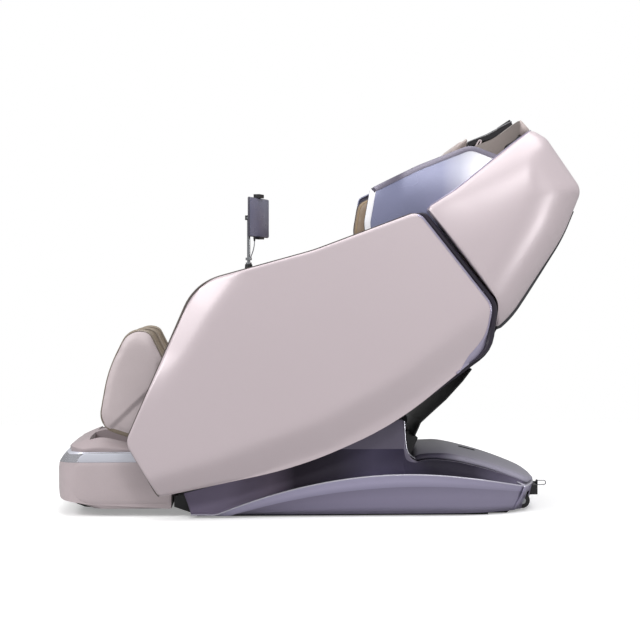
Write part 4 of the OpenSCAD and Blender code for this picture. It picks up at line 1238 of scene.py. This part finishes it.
ear_outline = rounded([[148, 800, 12], [137, 895, 110], [152, 985, 40], [300, 1056, 300], [448, 1110, 60],
                       [535, 1070, 40], [560, 980, 60], [400, 790, 60]])
EAR_MIDDLE = (340, 920)
EAR_Y = 246
EAR_HALF = 18
ear_run = even_run(corner_run(ear_outline, 0, 5), 9)
for way, side in SIDES:
    ear = outline_pad(ear_outline, EAR_MIDDLE, EAR_HALF, way * EAR_Y, 5)
    padded_piece(0.7, "ear_pad_" + side, ear, brown, "back", "brown_leather",
                 ("wing_pads",) if way == -1 else (), smooth=0)
    for k, number, finish in ((0.7, 17, piping_tan), (0.1, 11, piping_dark), (-0.6, 4, piping_tan)):
        piping("ear_piping_%s_%d" % (side, number), on_pad(ear_run, EAR_MIDDLE, k),
               way * (EAR_Y + EAR_HALF * k), 2.4, finish, "back")

inner_outline = rounded([[-470, 470, 40], [-360, 672, 90], [-190, 722, 60], [-60, 770, 200], [80, 800, 40],
                         [96, 520, 40], [60, 436, 40], [-440, 436, 30]])
for way, side in SIDES:
    padded_piece(0.5, "arm_lining_" + side, outline_pad(inner_outline, (-180, 600), 8, way * 271, 3), beige,
                 "seat", "beige_leather", smooth=0)

knee_roll = rod([(KNEE[0], y, KNEE[1]) for y in (-188, -186, -182, -100, -72, 72, 100, 182, 186, 188)],
                lambda t: 47 - 5 * (abs(2 * t - 1) > 0.99), 40)
knee_flap = across([[-376, 462], [-386, 440], [-420, 448], [-455, 457], [-453, 472], [-415, 468]],
                   (-188, -186, 0, 186, 188))
padded_piece(0.8, "knee_roll", joined(knee_roll, knee_flap), brown, "leg", "brown_leather")

# ---------- Foot unit ----------

FOOT_BACK = -452
FOOT_TIP = -812
FOOT_HALF = 251
foot_plan = rounded([[FOOT_BACK, -FOOT_HALF, 8], [-788, -FOOT_HALF, 60], [FOOT_TIP, -110, 220],
                     [FOOT_TIP, 110, 220], [-788, FOOT_HALF, 60], [FOOT_BACK, FOOT_HALF, 8]])
FOOT_FRONT = [[24, -700], [38, -748], [50, -788], [64, -803], [90, -809], [115, -811], [147, -808],
              [160, -803], [167, -797]]


def foot_ring(z, front, side=0):
    """The unit's plan, drawn back to a given front and in by a given amount at the sides."""
    share = (FOOT_BACK - front) / (FOOT_BACK - FOOT_TIP)
    return [(FOOT_BACK + (p.x - FOOT_BACK) * share, p.y * (1 - side / FOOT_HALF), z) for p in foot_plan]


foot_rows = [foot_ring(25, -690, 10), foot_ring(26, -712, 5)]
for z in (30, 36, 43, 51, 60, 72, 86, 102, 118, 134, 148, 158, 163, 166):
    foot_rows.append(foot_ring(z, through(FOOT_FRONT, z), 4 * step(44, 26, z) + 1.2 * step(160, 167, z)))
foot_rows.append(foot_ring(167, -793, 4))
foot_cover = loft(foot_rows, closed=True)
outward(foot_cover, (-600, 0, 100))
piece("foot_cover", foot_cover, pale, "foot", "beige_leather", wall=1.0, wall_offset=1)
band = loft([foot_ring(*row) for row in (
    (167.2, -793, 5), (167.6, -799, 1), (170, -800), (178, -795), (186, -788), (193, -781, 0.5),
    (197, -776, 1.5), (198.2, -770, 5))], closed=True)
outward(band, (-600, 0, 180))
piece("foot_band", band, band_silver, "foot", "silver_trim", wall=1.0, wall_offset=1)

# The collar stands on the band. Its height along the middle, and the two wells for the feet in it.
COLLAR_FOOT = 199
COLLAR_TOP = [[-782, 203], [-762, 214], [-724, 232], [-684, 246], [-668, 248], [-644, 244], [-560, 222],
              [-476, 204]]
TOE_CAP, HEEL = -704, -524
WELL_INNER, WELL_OUTER = 38, 208


def collar_height(x, y):
    outside = min(1, max(0, (FOOT_HALF - abs(y)) / 72))
    return COLLAR_FOOT + (through(COLLAR_TOP, x) - COLLAR_FOOT) * math.sin(math.pi / 2 * outside) ** 0.8


collar = bmesh.new()
collar.faces.new([collar.verts.new((p[0] * MM, p[1] * MM, 0)) for p in foot_ring(0, -776, 8)])
across_at = [-WELL_OUTER, -WELL_INNER, WELL_INNER, WELL_OUTER] + list(range(-240, 241, 12))
for normal, places in (((1, 0, 0), [TOE_CAP, HEEL] + list(range(-770, -460, 12))), ((0, 1, 0), across_at)):
    for at in places:
        bmesh.ops.bisect_plane(collar, geom=collar.faces[:] + collar.edges[:] + collar.verts[:], dist=NEAR,
                               plane_co=Vector(normal) * (at * MM), plane_no=normal)
wells = []
for f in collar.faces:
    c = f.calc_center_median() / MM
    if TOE_CAP < c.x < HEEL and WELL_INNER < abs(c.y) < WELL_OUTER:
        wells.append(f)
bmesh.ops.delete(collar, geom=wells, context="FACES")
for v in collar.verts:
    x, y = v.co.x / MM, v.co.y / MM
    crease = 1.2 * noise.noise(Vector((x * 0.018, y * 0.03, 3)))
    v.co.z = (collar_height(x, y) + crease) * MM
rim_edges = [e for e in collar.edges if e.is_boundary]
for drop in (4, 12, 30):
    fresh, rim_edges = pulled(collar, rim_edges)
    for v in fresh:
        v.co.z = max(v.co.z - drop * MM, COLLAR_FOOT * MM)
bmesh.ops.remove_doubles(collar, verts=collar.verts, dist=1e-6)
outward(collar, (-620, 0, 150))
padded_piece(0.6, "foot_collar", collar, collar_leather, "foot", "beige_leather", ("foot_pads",), smooth=60)

# ---------- Tablet ----------

shell_bm = placed(block((27, -84, -59), (34.5, 84, 59), 3), TABLET)
piece("tablet_shell", shell_bm, case_grey, "tablet", "tablet_case", ("tablet_body",))
screen_bm = placed(block((34.3, -82, -57), (36.0, 82, 57), 0.6, 2), TABLET)
piece("tablet_screen", screen_bm, glass, "tablet", "tablet_case")

# ---------- Finishes on the solid parts ----------

loop_finish = Finish("loop_wire", tint("8f8f94"), 0.35, 0.6)
loop_finish.colour(loop_finish.ramp(loop_finish.along("X", 0.70, 0.75), [
    (0.0, tint("17171a")), (0.49, tint("1c1c1f")), (0.52, tint("8f8f94")), (1.0, tint("a2a2a8"))]))
loop_finish.gloss(loop_finish.noise(40, 2), 0.3, 0.42)

SOLID_FINISHES = (
    (steel, "base_frame tilt_brackets seat_frame back_frame leg_frame"),
    (bare, "wheel_axles tilt_rod recline_rod leg_rod tablet_stalk"),
    (motor, "control_box tilt_actuator recline_actuator leg_actuator massage_carriage"),
    (black, "base_deck base_front power_inlet power_rocker seat_pan foot_bumper stalk_base tablet_holder"
            " holder_jaw"),
    (rubber, "base_skids wheel_left wheel_right"),
    (dark_plum, "arm_body_left arm_body_right"),
    (arm_ivory, "roller_arm_left roller_arm_right"),
    (roller_tan, "massage_roller_1 massage_roller_2 massage_roller_3 massage_roller_4"),
    (loop_finish.material, "wire_loop"), (pale, "foot_shell"), (silver, "foot_trim"), (brown, "foot_roller")
)
for finish, nodes in SOLID_FINISHES:
    for node in nodes.split():
        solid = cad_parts[node]
        solid.data.materials.clear()
        solid.data.materials.append(finish)

# ---------- Floor and light ----------

# The floor's half side is in metres.
FLOOR_HALF = 2.9
SKY_LIGHT = 0.36

floor_bm = bmesh.new()
bmesh.ops.create_grid(floor_bm, x_segments=1, y_segments=1, size=FLOOR_HALF)
floor_mesh = bpy.data.meshes.new("floor")
floor_bm.to_mesh(floor_mesh)
floor_bm.free()
floor = bpy.data.objects.new("floor", floor_mesh)
scene.collection.objects.link(floor)
floor_finish = Finish("floor_paper", (0.6, 0.6, 0.6), 0.9, specular=0.1)
paper = floor_finish.mix(floor_finish.noise(1.5, 2), (0.91, 0.91, 0.91), (0.93, 0.93, 0.93))
ray = floor_finish.add("ShaderNodeLightPath").outputs["Is Camera Ray"]
floor_finish.colour(floor_finish.mix(ray, (0.42, 0.42, 0.42), paper))
glow = floor_finish.mix(ray, (0, 0, 0), (0.3, 0.3, 0.3))
floor_finish.join(glow, floor_finish.shader.inputs["Emission Color"])
floor_finish.shader.inputs["Emission Strength"].default_value = 1.0
floor_mesh.materials.append(floor_finish.material)

world = bpy.data.worlds.new("studio")
world.use_nodes = True
nodes = world.node_tree.nodes
sky = nodes["Background"]
backdrop = nodes.new("ShaderNodeBackground")
for light, strength in ((sky, SKY_LIGHT), (backdrop, 1.0)):
    light.inputs["Color"].default_value = (*WHITE, 1)
    light.inputs["Strength"].default_value = strength
seen = nodes.new("ShaderNodeLightPath")
blend = nodes.new("ShaderNodeMixShader")
for start, end in ((seen.outputs["Is Camera Ray"], blend.inputs[0]), (sky.outputs[0], blend.inputs[1]),
                   (backdrop.outputs[0], blend.inputs[2]),
                   (blend.outputs[0], nodes["World Output"].inputs[0])):
    world.node_tree.links.new(start, end)
scene.world = world
scene.view_settings.view_transform = "Standard"


def softbox(name, at, aim, width, height, power):
    """Rectangular light at a place, turned to another, in metres and watts."""
    light = bpy.data.lights.new(name, "AREA")
    light.shape = "RECTANGLE"
    light.size = width
    light.size_y = height
    light.energy = power
    obj = bpy.data.objects.new(name, light)
    scene.collection.objects.link(obj)
    obj.location = at
    obj.rotation_euler = (Vector(aim) - Vector(at)).to_track_quat("-Z", "Y").to_euler()


softbox("top_light", (0.3, -0.4, 4.0), (0.1, -0.2, 0.3), 5.0, 4.0, 158)
softbox("front_light", (-3.2, -2.4, 2.9), (-0.3, -0.2, 0.55), 2.0, 1.4, 90)
softbox("side_light", (0.7, -4.2, 2.9), (0.4, 0, 0.9), 1.0, 0.7, 34)
softbox("low_light", (2.2, -1.6, 0.4), (0.67, -0.35, 0.88), 0.12, 0.6, 9)
softbox("rear_light", (3.4, -2.6, 1.4), (0.5, -0.2, 0.8), 0.6, 2.2, 14)
